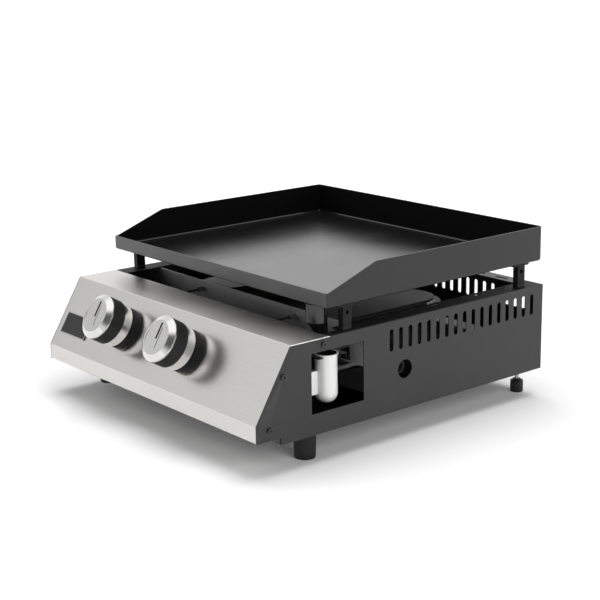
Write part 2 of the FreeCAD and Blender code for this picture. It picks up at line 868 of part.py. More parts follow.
def griddle_tray():
    body = new_body("griddle_tray")
    side = sketch_on(body, "YZ_Plane")
    lip_top = tray_bottom + c.tray_lip
    wall_top = tray_bottom + c.tray_side
    outline(side, [(c.tray_front, tray_bottom), (c.tray_front, lip_top),
                   (c.tray_front + c.tray_flat, lip_top), (c.tray_front + c.tray_knee, wall_top),
                   (tray_back, wall_top), (tray_back, tray_bottom)])
    pad(body, side, c.tray_width, both_ways=True)
    round_edges(body, c.tray_knee_radius, lambda edge, middle: lies_along(edge, X_AXIS)
                and near(middle.y, c.tray_front + c.tray_knee))
    round_edges(body, c.tray_corner, lambda edge, middle: lies_along(edge, Z_AXIS)
                and near(middle.y, tray_back))
    round_edges(body, c.tray_edge, lambda edge, middle: lies_along(edge, Z_AXIS)
                and near(middle.y, c.tray_front))
    round_edges(body, c.tray_edge, lambda edge, middle: near(middle.z, tray_bottom))
    inside = sketch_on(body, "XY_Plane", wall_top)
    rectangle(inside, (-tray_half + c.tray_wall, c.tray_front + c.tray_wall),
              (tray_half - c.tray_wall, tray_back - c.tray_wall))
    pocket_down(body, inside, c.tray_side - c.tray_floor)
    floor_top = tray_bottom + c.tray_floor
    round_edges(body, c.tray_corner - c.tray_wall, lambda edge, middle: lies_along(edge, Z_AXIS)
                and near(abs(middle.x), tray_half - c.tray_wall))
    round_edges(body, c.tray_fillet, lambda edge, middle: near(middle.z, floor_top))
    drain = sketch_on(body, "XY_Plane")
    disc(drain, spout_side, spout_front, c.drain_radius)
    pocket_through(body, drain)
    finish(body, "griddle_tray")


def legs():
    caps = []
    low_metal = c.cabinet_top + c.leg_cap
    high_metal = tray_bottom - c.leg_pad
    for place, y in leg_depths.items():
        for name, sign in SIDES.items():
            low_x, high_x = ordered(sign, leg_side - c.leg_width / 2, leg_side + c.leg_width / 2)
            low_y, high_y = y - c.leg_length / 2, y + c.leg_length / 2
            shell = block((low_x, low_y, low_metal), (high_x, high_y, high_metal))
            core = block((low_x + c.leg_wall, low_y + c.leg_wall, low_metal),
                         (high_x - c.leg_wall, high_y - c.leg_wall, high_metal))
            pad_plate = block((low_x, y - c.leg_pad_length / 2, high_metal),
                              (high_x, y + c.leg_pad_length / 2, tray_bottom))
            hole = cylinder(c.leg_hole_radius, c.leg_width + c.leg_wall,
                            (low_x - c.leg_wall / 2, y, high_metal - c.leg_hole_drop), X_AXIS)
            finish(joined(cut_from(shell, core, hole), pad_plate), f"leg_{place}_{name}")
            caps.append(block((low_x, low_y, c.cabinet_top), (high_x, high_y, low_metal)))
    finish(grouped(*caps), "leg_caps")


def drain_spout():
    collar_low = tray_bottom - c.spout_drop

    def filled(shrink):
        wide = float(c.spout_radius - shrink)
        narrow = float(c.nozzle_radius - shrink)
        collar = Part.makeCylinder(wide, float(c.spout_drop), Vector(spout_side, spout_front, collar_low))
        top = Part.Wire(Part.makeCircle(wide, Vector(spout_side, spout_front, collar_low)))
        throat = Part.Wire(Part.makeCircle(narrow, Vector(nozzle_side, nozzle_front, nozzle_top)))
        funnel = Part.makeLoft([top, throat], True, True)
        nozzle = Part.makeCylinder(narrow, float(c.nozzle_length),
                                   Vector(nozzle_side, nozzle_front, nozzle_top - c.nozzle_length))
        return collar.fuse([funnel, nozzle]).removeSplitter()

    finish(feature(filled(0.0).cut(filled(c.spout_wall))), "drain_spout")


def grease_cup():
    body = new_body("grease_cup")
    section = sketch_on(body, "XZ_Plane")
    rim_low = c.cup_height - c.cup_rim
    outline(section, [(0.0, 0.0), (c.cup_radius, 0.0), (c.cup_radius, rim_low),
                      (c.cup_rim_radius, rim_low), (c.cup_rim_radius, c.cup_height),
                      (c.cup_radius - c.cup_wall, c.cup_height), (c.cup_radius - c.cup_wall, c.cup_wall),
                      (0.0, c.cup_wall)])
    turn(body, section)
    round_edges(body, c.cup_round, lambda edge, middle: near(middle.z, 0.0)
                and near(math.hypot(middle.x, middle.y), c.cup_radius))
    round_edges(body, c.cup_round - c.cup_wall, lambda edge, middle: near(middle.z, c.cup_wall)
                and near(math.hypot(middle.x, middle.y), c.cup_radius - c.cup_wall))
    tab = sketch_on(body, "YZ_Plane")
    tab_top = c.cup_tab_bottom + c.cup_tab_height
    rectangle(tab, (-c.cup_radius - c.cup_tab_length, c.cup_tab_bottom),
              (-c.cup_radius + c.cup_wall / 2, tab_top))
    pad(body, tab, c.sheet, both_ways=True)
    body.Placement = Placement(Vector(cup_side, c.cup_front, cup_bottom), Rotation())
    finish(body, "grease_cup")


def cup_holder():
    top = holder_top
    left = holder_left
    clear = c.cup_radius + c.cup_gap
    right = cup_side + c.holder_reach
    plate = block((left, c.cup_front - clear - c.holder_arm, top - c.sheet),
                  (right, c.cup_front + clear + c.holder_arm, top))
    tongue = block((left, c.cup_front, top - c.sheet), (left + c.holder_tongue, c.baffle_front, top))
    tab = block((left, c.baffle_front - c.sheet, top - c.holder_tab),
                (left + c.holder_tongue, c.baffle_front, top))
    well = cylinder(clear, c.sheet * 3, (cup_side, c.cup_front, top - c.sheet * 2))
    mouth = block((cup_side, c.cup_front - clear, top - c.sheet * 2),
                  (right + clear, c.cup_front + clear, top + c.sheet))
    hole = cylinder(c.screw_hole, c.sheet * 3,
                    (holder_screw_side, c.baffle_front - c.sheet * 2, holder_screw_height), Y_AXIS)
    finish(cut_from(joined(plate, tongue, tab), well, mouth, hole), "cup_holder")


def firebox_baffle():
    body = new_body("firebox_baffle")
    top = c.cabinet_top - c.sheet - c.baffle_gap
    low = burner_bottom - c.baffle_lap
    wall = sketch_on(body, "XZ_Plane", -(c.baffle_front + c.sheet))
    rectangle(wall, (-inner_half, low), (inner_half, top))
    pad(body, wall, c.sheet)
    for sign in SIDES.values():
        tab = sketch_on(body, "YZ_Plane", ordered(sign, inner_half - c.sheet, inner_half)[0])
        rectangle(tab, (c.baffle_front, low), (c.baffle_front + c.baffle_tab, top))
        pad(body, tab, c.sheet)
    holes = sketch_on(body, "XZ_Plane")
    for sign in SIDES.values():
        disc(holes, sign * c.burner_side, venturi_height, c.venturi_radius)
        disc(holes, sign * (c.burner_side - c.electrode_inset), electrode_height, c.electrode_radius)
    disc(holes, holder_screw_side, holder_screw_height, c.screw_hole)
    pocket_through(body, holes)
    finish(body, "firebox_baffle")


def heat_shield():
    body = new_body("heat_shield")
    rim = c.shield_height + c.shield_edge
    shield_back = c.cabinet_depth - c.shield_end
    section = sketch_on(body, "XZ_Plane", -shield_back)
    outline(section, folded([(inner_half, rim), (inner_half, c.shield_height),
                             (-inner_half, c.shield_height), (-inner_half, rim)], c.sheet))
    pad(body, section, shield_back - c.baffle_front - c.shield_lead)
    finish(body, "heat_shield")


def burner_rail():
    body = new_body("burner_rail")
    front = burner_back - c.rail_overlap
    back = front + c.rail_depth
    section = sketch_on(body, "YZ_Plane")
    outline(section, folded([(front, burner_bottom), (back, burner_bottom),
                             (back, burner_bottom - c.rail_drop)], c.sheet))
    pad(body, section, inner_half * 2, both_ways=True)
    finish(body, "burner_rail")


def burner_outline(sketch, side, grow=0.0):
    """The burner's plan: two half circles joined by straight sides."""
    stadium(sketch, (side, burner_front + c.burner_radius),
            (side, burner_back - c.burner_radius), c.burner_radius + grow)


def trough(label, side, low, high, grow, radius):
    """A solid of the burner's plan from one height to another, with its bottom edge rounded."""
    body = new_body(label)
    plan = sketch_on(body, "XY_Plane", low)
    burner_outline(plan, side, grow)
    pad(body, plan, high - low)
    round_edges(body, radius, lambda edge, middle: near(middle.z, low))
    return body


def burner(name):
    side = SIDES[name] * c.burner_side
    base = trough(f"burner_trough_{name}", side, burner_bottom, burner_seam, 0.0, c.burner_round)
    rim = sketch_on(base, "XY_Plane", burner_seam - c.burner_metal)
    burner_outline(rim, side, c.burner_rim)
    pad(base, rim, c.burner_metal)
    hollow = trough(f"burner_hollow_{name}", side, burner_bottom + c.burner_metal,
                    burner_seam + c.burner_metal, -c.burner_metal, c.burner_round - c.burner_metal)
    socket = cylinder(c.venturi_radius, c.venturi_socket + c.burner_rim * 2,
                      (side, burner_front - c.burner_rim * 2, venturi_height), Y_AXIS)
    finish(cut_from(base, hollow, socket), f"burner_base_{name}")

    cover = new_body(f"burner_crown_{name}")
    brim = sketch_on(cover, "XY_Plane", burner_seam)
    burner_outline(brim, side, c.burner_rim)
    pad(cover, brim, c.burner_metal)
    crown = sketch_on(cover, "XY_Plane", burner_seam)
    burner_outline(crown, side, -c.burner_crown_inset)
    pad(cover, crown, c.burner_crown)
    round_edges(cover, c.burner_crown_round,
                lambda edge, middle: near(middle.z, burner_seam + c.burner_crown))
    hollow = sketch_on(cover, "XY_Plane", burner_seam)
    burner_outline(hollow, side, -c.burner_crown_inset - c.burner_metal)
    inside = pocket_down(cover, hollow, c.burner_crown - c.burner_metal)
    inside.Reversed = True
    finish(cut_from(cover, feature(Part.makeCompound(port_cutters(side)))), f"burner_cover_{name}")


def port_cutters(side):
    """Small blocks through the crown's wall, evenly spaced along its straight sides and round ends."""
    radius = float(c.burner_radius - c.burner_crown_inset)
    depth = float(c.burner_metal) * 4
    wide = float(c.port_width)
    low = float(burner_seam + c.burner_metal)
    front = float(burner_front + c.burner_radius)
    back = float(burner_back - c.burner_radius)
    cutters = []

    def cutter(middle_y, angle):
        box = Part.makeBox(depth, wide, float(c.port_height), Vector(radius - depth / 2, -wide / 2, low))
        box.rotate(Vector(), Z_AXIS, angle)
        box.translate(Vector(float(side), middle_y, 0))
        cutters.append(box)

    straight = int((back - front) / c.port_pitch)
    for index in range(straight + 1):
        y = front + (back - front) * index / straight
        cutter(y, 0)
        cutter(y, 180)
    turns = int(math.pi * radius / c.port_pitch)
    for index in range(1, turns):
        cutter(back, 180 * index / turns)
        cutter(front, 180 + 180 * index / turns)
    return cutters


def venturi(name):
    side = SIDES[name] * c.burner_side
    start = venturi_front
    length = burner_front + c.venturi_socket - start
    outer = cylinder(c.venturi_radius, length, (side, start, venturi_height), Y_AXIS)
    bore = cylinder(c.venturi_radius - c.venturi_wall, length,
                    (side, start + c.venturi_wall, venturi_height), Y_AXIS)
    jet_hole = cylinder(c.jet_radius, c.venturi_wall * 3,
                        (side, start - c.venturi_wall, venturi_height), Y_AXIS)
    window_start = start + c.air_window_back
    half_window = c.air_window_width / 2

    def air_window(reach):
        return block((side - reach, window_start, venturi_height - half_window),
                     (side + reach, window_start + c.air_window_length, venturi_height + half_window))

    finish(cut_from(outer, bore, jet_hole, air_window(c.venturi_radius * 2)), f"venturi_{name}")

    inner = c.venturi_radius + c.running_gap
    middle = window_start + c.air_window_length / 2
    sleeve_start = middle - c.shutter_length / 2
    sleeve = cylinder(inner + c.shutter_wall, c.shutter_length, (side, sleeve_start, venturi_height), Y_AXIS)
    tab = block((side - c.shutter_wall, sleeve_start, venturi_height + inner + c.shutter_wall / 2),
                (side + c.shutter_wall, sleeve_start + c.shutter_tab,
                 venturi_height + inner + c.shutter_wall + c.shutter_tab))
    eye = cylinder(inner, c.shutter_length * 2, (side, sleeve_start - c.shutter_length / 2, venturi_height),
                   Y_AXIS)
    finish(cut_from(joined(sleeve, tab), eye, air_window(c.venturi_radius * 2)), f"air_shutter_{name}")


def jet(name):
    side = SIDES[name] * c.burner_side
    back = venturi_front - c.jet_length
    stem = cylinder(c.jet_radius, c.jet_length + c.jet_tip, (side, back, venturi_height), Y_AXIS)
    collar = cylinder(c.jet_collar_radius, c.jet_collar,
                      (side, venturi_front - c.jet_collar, venturi_height), Y_AXIS)
    bore = cylinder(c.jet_bore, c.jet_length + c.jet_tip * 2, (side, back - c.jet_tip / 2, venturi_height),
                    Y_AXIS)
    finish(cut_from(joined(stem, collar), bore), f"jet_{name}")


outlet_start = on_slope(0.0, depth=c.outlet_depth).Base
outlet_end_y = outlet_start.y + float(c.valve_radius + c.outlet_length)


def gas_tube(name):
    """The thin pipe from a valve's outlet to its jet."""
    valve_x = float(knob_sides[name])
    jet_x = float(SIDES[name] * c.burner_side)
    start = Vector(valve_x, outlet_end_y, outlet_start.z)
    end = Vector(jet_x, float(venturi_front - c.jet_length), float(venturi_height))
    run = (end.y - start.y) * float(c.gas_tube_lead)
    points = [start, start + Y_AXIS * run, end - Y_AXIS * run, end]
    finish(feature(tube(points, c.gas_tube_bend, c.gas_tube_radius, c.gas_tube_bore)), f"gas_tube_{name}")


manifold_depth = (knob_z - slope_z * c.manifold_offset - c.inlet_height) / slope_y
manifold_y = knob_y + slope_z * manifold_depth - slope_y * c.manifold_offset


def manifold_pipe():
    height = float(c.inlet_height)
    y = float(manifold_y)
    back = float(c.inlet_back)
    right = half_width - c.manifold_inset
    points = [Vector(c.manifold_left, y, height), Vector(right, y, height),
              Vector(right, back, height), Vector(inlet_start, back, height)]
    pipe = tube(points, c.manifold_bend, c.manifold_radius, c.manifold_bore)
    end_plug = Part.makeCylinder(float(c.manifold_radius), float(c.sheet), points[0], X_AXIS)
    pipe = pipe.fuse(end_plug).removeSplitter()
    for side in knob_sides.values():
        place = on_slope(side, depth=manifold_depth)
        spigot = Part.makeCylinder(float(c.spigot_radius), float(c.manifold_offset), Vector(), -Y_AXIS)
        spigot.Placement = place
        pipe = pipe.cut(spigot)
    finish(feature(pipe), "manifold_pipe")


def gas_inlet():
    hexagon = doc.addObject("Part::Prism", "hexagon")
    hexagon.Polygon = 6
    bind(hexagon, "Circumradius", c.inlet_hex)
    bind(hexagon, "Height", c.inlet_hex_length)
    hexagon.Placement = Placement(Vector(inlet_start, c.inlet_back, c.inlet_height), Rotation(Z_AXIS, X_AXIS))
    mouth = inner_half - c.inlet_recess
    barrel = cylinder(c.inlet_barrel, mouth - inlet_start, (inlet_start, c.inlet_back, c.inlet_height),
                      X_AXIS)
    thread = cylinder(c.inlet_thread_radius, c.inlet_thread_length * 2,
                      (mouth - c.inlet_thread_length, c.inlet_back, c.inlet_height), X_AXIS)
    feed = cylinder(c.manifold_bore, mouth - inlet_start,
                    (inlet_start - c.sheet, c.inlet_back, c.inlet_height), X_AXIS)
    finish(cut_from(joined(hexagon, barrel), thread, feed), "gas_inlet")


def valve(name):
    """A gas valve in line with its knob: body, turning plug, sliding stem, return spring and igniter."""
    side = knob_sides[name]
    place = on_slope(side)
    rear = c.valve_length - c.valve_end
    neck = cylinder(c.valve_neck_radius, c.valve_shoulder - c.skin, (0.0, 0.0, -c.valve_shoulder))
    shell = cylinder(c.valve_radius, c.valve_length - c.valve_shoulder, (0.0, 0.0, -c.valve_length))
    spigot = cylinder(c.spigot_radius, c.manifold_offset, (0.0, 0.0, -manifold_depth), -Y_AXIS)
    level = Vector(0, slope_y, -slope_z)
    outlet = cylinder(c.spigot_radius, c.valve_radius + c.outlet_length, (0.0, 0.0, -c.outlet_depth), level)
    chamber = cylinder(c.valve_bore + c.running_gap, rear - c.collar_front, (0.0, 0.0, -rear))
    gland = cylinder(c.stem_radius + c.running_gap, rear, (0.0, 0.0, -rear))
    entry = cylinder(c.gas_tube_bore, c.manifold_offset * 2, (0.0, 0.0, -manifold_depth), -Y_AXIS)
    passage = cylinder(c.gas_tube_bore, c.valve_length, (0.0, 0.0, -c.outlet_depth), level)
    body = cut_from(joined(neck, shell, spigot, outlet), chamber, gland, entry, passage)
    body.Placement = place
    finish(body, f"valve_body_{name}")

    plug = cylinder(c.valve_bore, rear - c.plug_front - c.plug_gap, (0.0, 0.0, c.plug_gap - rear))
    socket = cylinder(c.stem_tail_radius + c.running_gap, c.plug_bore, (0.0, 0.0, -c.plug_front - c.plug_bore))
    port = cylinder(c.plug_port, c.valve_bore * 2, (0.0, 0.0, -c.outlet_depth), -Y_AXIS)
    core = cut_from(plug, socket, port)
    core.Placement = place
    finish(core, f"valve_plug_{name}")

    shaft = cylinder(c.stem_radius, c.stem_seat + c.collar_front, (0.0, 0.0, -c.collar_front))
    collar = cylinder(c.valve_bore, c.collar, (0.0, 0.0, -c.collar_front - c.collar))
    tail = cylinder(c.stem_tail_radius, c.stem_tail, (0.0, 0.0, -c.collar_front - c.collar - c.stem_tail))
    stem = joined(shaft, collar, tail)
    stem.Placement = place
    finish(stem, f"valve_stem_{name}")

    rise = c.plug_front - c.collar_front - c.collar - c.spring_wire
    wound = coil(c.spring_radius, rise, c.spring_turns, c.spring_wire / 2)
    seat = Placement(Vector(0, 0, float(c.spring_wire / 2 - c.plug_front)), Rotation())
    spring = feature(wound)
    spring.Placement = place.multiply(seat)
    finish(spring, f"valve_spring_{name}")

    half = c.igniter_width / 2
    box = block((-half, c.valve_radius, -c.igniter_front - c.igniter_length),
                (half, c.valve_radius + c.igniter_height, -c.igniter_front))
    module = loose(box)
    module.Placement = place
    finish(module, f"igniter_{name}")


def electrodes():
    pieces = []
    leads = []
    pin_seat = c.electrode_pin_length / 4
    for name, sign in SIDES.items():
        x = sign * (c.burner_side - c.electrode_inset)
        ceramic = cylinder(c.electrode_radius, c.electrode_length,
                           (x, electrode_front, electrode_height), Y_AXIS)
        pin_start = electrode_front + c.electrode_length - pin_seat
        seat = cylinder(c.electrode_pin, pin_seat * 2, (x, pin_start, electrode_height), Y_AXIS)
        pieces.append(cut_from(ceramic, seat))
        pin = cylinder(c.electrode_pin, c.electrode_pin_length, (x, pin_start, electrode_height), Y_AXIS)
        pieces.append(pin)
        place = on_slope(knob_sides[name])
        rear = -c.igniter_front - c.igniter_length
        centre = float(c.valve_radius + c.igniter_height / 2)
        start = place.multVec(Vector(0, centre, rear))
        second = place.multVec(Vector(0, centre, rear - c.lead_start))
        end = Vector(float(x), float(electrode_front), float(electrode_height))
        last = end - Y_AXIS * float(c.lead_end)
        between = (second + last) / 2 + Z_AXIS * float(c.lead_rise)
        points = [start, second, between, last, end]
        leads.append(tube(points, c.lead_bend, c.lead_radius))
    finish(grouped(*pieces), "electrodes")
    finish(feature(Part.makeCompound(leads)), "ignition_leads")


def knob(name):
    place = on_slope(knob_sides[name])
    bezel = new_body(f"knob_bezel_{name}")
    section = sketch_on(bezel, "XZ_Plane")
    rim = c.bezel_radius - c.badge_thickness
    outline(section, [(c.bezel_hole, 0.0), (c.bezel_radius, 0.0),
                      (c.bezel_radius, c.bezel_height - c.badge_thickness), (rim, c.bezel_height),
                      (c.bezel_hole, c.bezel_height)])
    turn(bezel, section)
    bezel.Placement = place
    finish(bezel, f"knob_bezel_{name}")

    body = new_body(f"knob_body_{name}")
    section = sketch_on(body, "XZ_Plane")
    disc_top = c.cap_top - c.disc_drop
    inside = c.grip_seat - c.knob_wall
    ceiling = c.grip_top - c.knob_wall / 2
    outline(section, [(0.0, disc_top), (c.disc_radius, disc_top), (c.disc_radius, c.cap_top),
                      (c.cap_top_radius, c.cap_top), (c.grip_radius, c.cap_edge),
                      (c.grip_radius, c.grip_top), (c.grip_seat, c.grip_top),
                      (c.grip_seat, c.grip_bottom), (c.ring_radius, c.grip_bottom),
                      (c.ring_radius, c.ring_bottom), (inside, c.ring_bottom), (inside, ceiling),
                      (c.hub_radius, ceiling), (c.hub_radius, c.hub_bottom),
                      (c.stem_radius, c.hub_bottom), (c.stem_radius, c.stem_seat), (0.0, c.stem_seat)])
    turn(body, section)
    slots = sketch_on(body, "XY_Plane", disc_top)
    half = c.pointer_width / 2
    rectangle(slots, (-half, c.pointer_start), (half, c.pointer_start + c.pointer_length))
    pocket_down(body, slots, c.pointer_depth)
    groove = sketch_on(body, "XY_Plane", disc_top)
    half_groove = c.groove_length / 2
    rectangle(groove, (c.groove_side, -half_groove), (c.groove_side + c.groove_width, half_groove))
    pocket_down(body, groove, c.groove_depth)
    body.Placement = place
    finish(body, f"knob_body_{name}")

    grip = new_body(f"knob_grip_{name}")
    section = sketch_on(grip, "XZ_Plane")
    rectangle(section, (c.grip_seat, c.grip_bottom), (c.grip_radius, c.grip_top))
    turn(grip, section)
    rib = sketch_on(grip, "XY_Plane", c.grip_bottom)
    half_rib = c.rib_width / 2
    rectangle(rib, (c.grip_radius - c.rib_depth, -half_rib), (c.grip_radius + c.rib_depth, half_rib))
    valley = pocket_through(grip, rib)
    axis = next(item for item in grip.Origin.OriginFeatures if item.Role == "Z_Axis")
    pattern = grip.newObject("PartDesign::PolarPattern", "ribs")
    pattern.Originals = [valley]
    pattern.Axis = (axis, [""])
    pattern.Angle = 360
    bind(pattern, "Occurrences", c.grip_ribs)
    grip.Tip = pattern
    grip.Placement = place
    finish(grip, f"knob_grip_{name}")

    pointer = block((-half, c.pointer_start, disc_top - c.pointer_depth),
                    (half, c.pointer_start + c.pointer_length, disc_top + c.pointer_proud))
    bar = loose(pointer)
    bar.Placement = place
    finish(bar, f"knob_pointer_{name}")


def badge_plate():
    """A bare plate with a raised border."""
    plate = block((0.0, 0.0, 0.0), (c.badge_width, c.badge_height, c.badge_thickness))
    face = block((c.badge_rim, c.badge_rim, c.badge_thickness - c.badge_recess),
                 (c.badge_width - c.badge_rim, c.badge_height - c.badge_rim, c.badge_thickness * 2))
    badge = cut_from(plate, face)
    badge.Placement = on_slope(c.badge_inset - half_width, rise=c.badge_rise)
    finish(badge, "badge_plate")


def front_foot(name):
    body = new_body(f"front_foot_{name}")
    foot_x, foot_y, top = foot_places[name]
    section = sketch_on(body, "XZ_Plane")
    outline(section, [(c.screw_hole, top), (c.foot_radius, top), (c.foot_toe_radius, 0.0),
                      (c.foot_recess_radius, 0.0), (c.foot_recess_radius, c.foot_recess),
                      (c.screw_hole, c.foot_recess)])
    turn(body, section)
    round_edges(body, c.foot_round, lambda edge, middle: near(middle.z, 0.0)
                and near(math.hypot(middle.x, middle.y), c.foot_toe_radius))
    body.Placement = Placement(Vector(foot_x, foot_y, 0), Rotation())
    finish(body, f"front_foot_{name}")


def leveller_place(name):
    return SIDES[name] * (half_width - c.leveller_inset), leveller_back


def levelling_foot(name):
    x, y = leveller_place(name)
    body = new_body(f"levelling_pad_{name}")
    section = sketch_on(body, "XZ_Plane")
    bore = c.stud_radius + c.running_gap
    neck_top = c.leveller_height + c.leveller_neck
    outline(section, [(0.0, 0.0), (c.leveller_radius, 0.0), (c.leveller_radius, c.leveller_height),
                      (c.leveller_neck_radius, c.leveller_height), (c.leveller_neck_radius, neck_top),
                      (bore, neck_top), (bore, c.stud_seat), (0.0, c.stud_seat)])
    turn(body, section)
    for height in (0.0, c.leveller_height):
        round_edges(body, c.foot_round / 2, lambda edge, middle: near(middle.z, height)
                    and near(math.hypot(middle.x, middle.y), c.leveller_radius))
    body.Placement = Placement(Vector(x, y, 0), Rotation())
    finish(body, f"levelling_pad_{name}")
    stud = cylinder(c.stud_radius, c.stud_top - c.stud_seat, (x, y, c.stud_seat))
    finish(loose(stud), f"levelling_stud_{name}")


def leveller_nuts():
    nuts = []
    for name in SIDES:
        x, y = leveller_place(name)
        prism = doc.addObject("Part::Prism", "nut")
        prism.Polygon = 6
        bind(prism, "Circumradius", c.nut_flats / math.sqrt(3))
        bind(prism, "Height", c.nut_height)
        for letter, number in zip("xyz", (x, y, pan_top)):
            bind(prism, f"Placement.Base.{letter}", number)
        bore = cylinder(c.stud_radius + c.running_gap, c.nut_height * 3, (x, y, pan_top - c.nut_height))
        nuts.append(cut_from(prism, bore))
    finish(grouped(*nuts), "leveller_nuts")


def screw(base, direction):
    """A pan-head screw whose head's underside is at base and whose point lies along direction."""
    head = Part.makeCylinder(float(c.screw_head_radius), float(c.screw_head))
    rounded = head.makeFillet(float(c.screw_head) / 2, [head.Edges[0]])
    shank = Part.makeCylinder(float(c.screw_radius), float(c.screw_length), Vector(), -Z_AXIS)
    solid = rounded.fuse(shank)
    half = float(c.screw_recess_width) / 2
    reach = float(c.screw_head_radius) * 0.6
    bottom = float(c.screw_head - c.screw_recess)
    for long_x, long_y in ((reach, half), (half, reach)):
        solid = solid.cut(Part.makeBox(long_x * 2, long_y * 2, float(c.screw_head),
                                       Vector(-long_x, -long_y, bottom)))
    solid.Placement = Placement(base, Rotation(Z_AXIS, -direction))
    return solid


def screws():
    solids = []
    for name, sign in SIDES.items():
        for back, height in side_screw_places():
            solids.append(screw(Vector(sign * half_width, back, height), -X_AXIS * sign))
        for height in rear_screw_heights():
            place = Vector(sign * (half_width - c.rear_screw_inset), c.cabinet_depth, height)
            solids.append(screw(place, -Y_AXIS))
        foot_x, foot_y, _ = foot_places[name]
        place = Vector(foot_x, foot_y, c.foot_recess)
        foot_screw = screw(place, Z_AXIS)
        shank = Part.makeCylinder(float(c.screw_radius), float(pan_top - c.foot_recess + c.screw_length), place)
        solids.append(foot_screw.fuse(shank).removeSplitter())
    holder_screw = Vector(holder_screw_side, c.baffle_front - c.sheet, holder_screw_height)
    solids.append(screw(holder_screw, Y_AXIS))
    finish(feature(Part.makeCompound(solids)), "panel_screws")


def build():
    for name in SIDES:
        side_panel(name)
    rear_panel()
    bottom_pan()
    front_panel()
    griddle_tray()
    legs()
    drain_spout()
    grease_cup()
    cup_holder()
    firebox_baffle()
    heat_shield()
    burner_rail()
    manifold_pipe()
    gas_inlet()
    electrodes()
    badge_plate()
    leveller_nuts()
    screws()
    for name in SIDES:
        burner(name)
        venturi(name)
        jet(name)
        gas_tube(name)
        valve(name)
        knob(name)
        front_foot(name)
        levelling_foot(name)


def check_and_export():
    doc.recompute()
    failed = [item for item in doc.Objects if "Invalid" in item.State or "Error" in item.State]
    for item in failed:
        owner = item.getParentGeoFeatureGroup()
        print(f"{item.Name} of {owner.Label if owner else item.Label} did not build: {item.State}")
    if failed:
        raise RuntimeError("some objects did not build")
    for item in parts:
        if item.Shape.isNull() or not item.Shape.isValid() or item.Shape.Volume <= 0:
            raise RuntimeError(f"{item.Label} has no sound shape")
    os.makedirs("parts", exist_ok=True)
    for item in parts:
        item.Shape.exportStep(f"parts/{item.Label}.step")
    box = FreeCAD.BoundBox()
    for item in parts:
        box.add(item.Shape.BoundBox)
    print(f"{len(parts)} sub-parts, {box.XLength:.1f} x {box.YLength:.1f} x {box.ZLength:.1f} mm, "
          f"middle at {box.Center.x:.2f}, {box.Center.y:.2f}, base at {box.ZMin:.2f}")


build()
check_and_export()
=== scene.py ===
import json
import math

import bpy
from bpy.props import FloatProperty, FloatVectorProperty, IntProperty, PointerProperty
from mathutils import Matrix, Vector

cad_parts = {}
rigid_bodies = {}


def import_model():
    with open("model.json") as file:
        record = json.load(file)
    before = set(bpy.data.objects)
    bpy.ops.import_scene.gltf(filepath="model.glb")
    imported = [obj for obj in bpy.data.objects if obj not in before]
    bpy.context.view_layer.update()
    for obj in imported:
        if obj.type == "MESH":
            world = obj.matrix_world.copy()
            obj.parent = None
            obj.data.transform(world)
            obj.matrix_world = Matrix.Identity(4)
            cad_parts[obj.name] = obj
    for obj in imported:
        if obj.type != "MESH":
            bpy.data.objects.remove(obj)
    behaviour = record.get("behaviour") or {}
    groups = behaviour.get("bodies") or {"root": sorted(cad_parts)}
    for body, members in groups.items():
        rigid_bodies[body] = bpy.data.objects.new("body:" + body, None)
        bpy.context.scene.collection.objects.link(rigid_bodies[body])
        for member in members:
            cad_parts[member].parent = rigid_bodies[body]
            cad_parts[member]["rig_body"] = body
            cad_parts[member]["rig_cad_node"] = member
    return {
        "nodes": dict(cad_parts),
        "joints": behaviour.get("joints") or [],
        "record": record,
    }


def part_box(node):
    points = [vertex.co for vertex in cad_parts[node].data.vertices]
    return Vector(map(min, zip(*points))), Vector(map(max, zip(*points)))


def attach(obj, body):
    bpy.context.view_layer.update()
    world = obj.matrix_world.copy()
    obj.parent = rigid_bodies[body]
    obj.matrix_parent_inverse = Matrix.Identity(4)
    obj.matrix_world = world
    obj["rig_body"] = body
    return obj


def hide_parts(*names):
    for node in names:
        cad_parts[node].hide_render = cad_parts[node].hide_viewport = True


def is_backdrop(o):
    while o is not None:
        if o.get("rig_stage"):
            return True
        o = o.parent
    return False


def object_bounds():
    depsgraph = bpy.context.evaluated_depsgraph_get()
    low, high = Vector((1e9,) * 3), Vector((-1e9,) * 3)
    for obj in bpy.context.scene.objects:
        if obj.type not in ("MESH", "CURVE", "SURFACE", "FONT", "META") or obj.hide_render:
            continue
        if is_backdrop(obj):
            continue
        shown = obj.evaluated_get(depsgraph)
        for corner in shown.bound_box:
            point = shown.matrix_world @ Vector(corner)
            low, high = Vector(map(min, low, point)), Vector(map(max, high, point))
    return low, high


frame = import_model()

bl_info = {
    "name": "Table-top gas griddle",
    "version": (1, 1, 0),
    "blender": (4, 5, 0),
    "location": "3D View > Sidebar > Griddle",
    "description": "Dresses a packed gas griddle with softened edges and metal, coat and rubber "
                   "finishes",
    "category": "Object",
}

MM = 0.001
NODES = frame["nodes"]
BODY_OF = {node: body for body, members in frame["record"]["behaviour"]["bodies"].items()
           for node in members}
JOINTS = {joint["name"]: joint for joint in frame["joints"]}
SIDES = ("left", "right")


# Selecting and shaping

MERGE_DISTANCE = 0.000002
FLAT_WITHIN = math.radians(0.4)
SMOOTH_WITHIN = math.radians(35)
SHARP_OVER = 30.0
NORMAL_WEIGHT = 60


def pick(*pieces):
    """Select these objects and nothing else, with the last one active."""
    for other in bpy.context.selected_objects:
        other.select_set(False)
    for piece in pieces:
        piece.select_set(True)
    bpy.context.view_layer.objects.active = pieces[-1]


def shape_modifier(piece, kind, **settings):
    """Add a modifier with these settings and apply it."""
    pick(piece)
    bpy.ops.object.modifier_add(type=kind)
    modifier = piece.modifiers[-1]
    for setting, number in settings.items():
        setattr(modifier, setting, number)
    bpy.ops.object.modifier_apply(modifier=modifier.name)


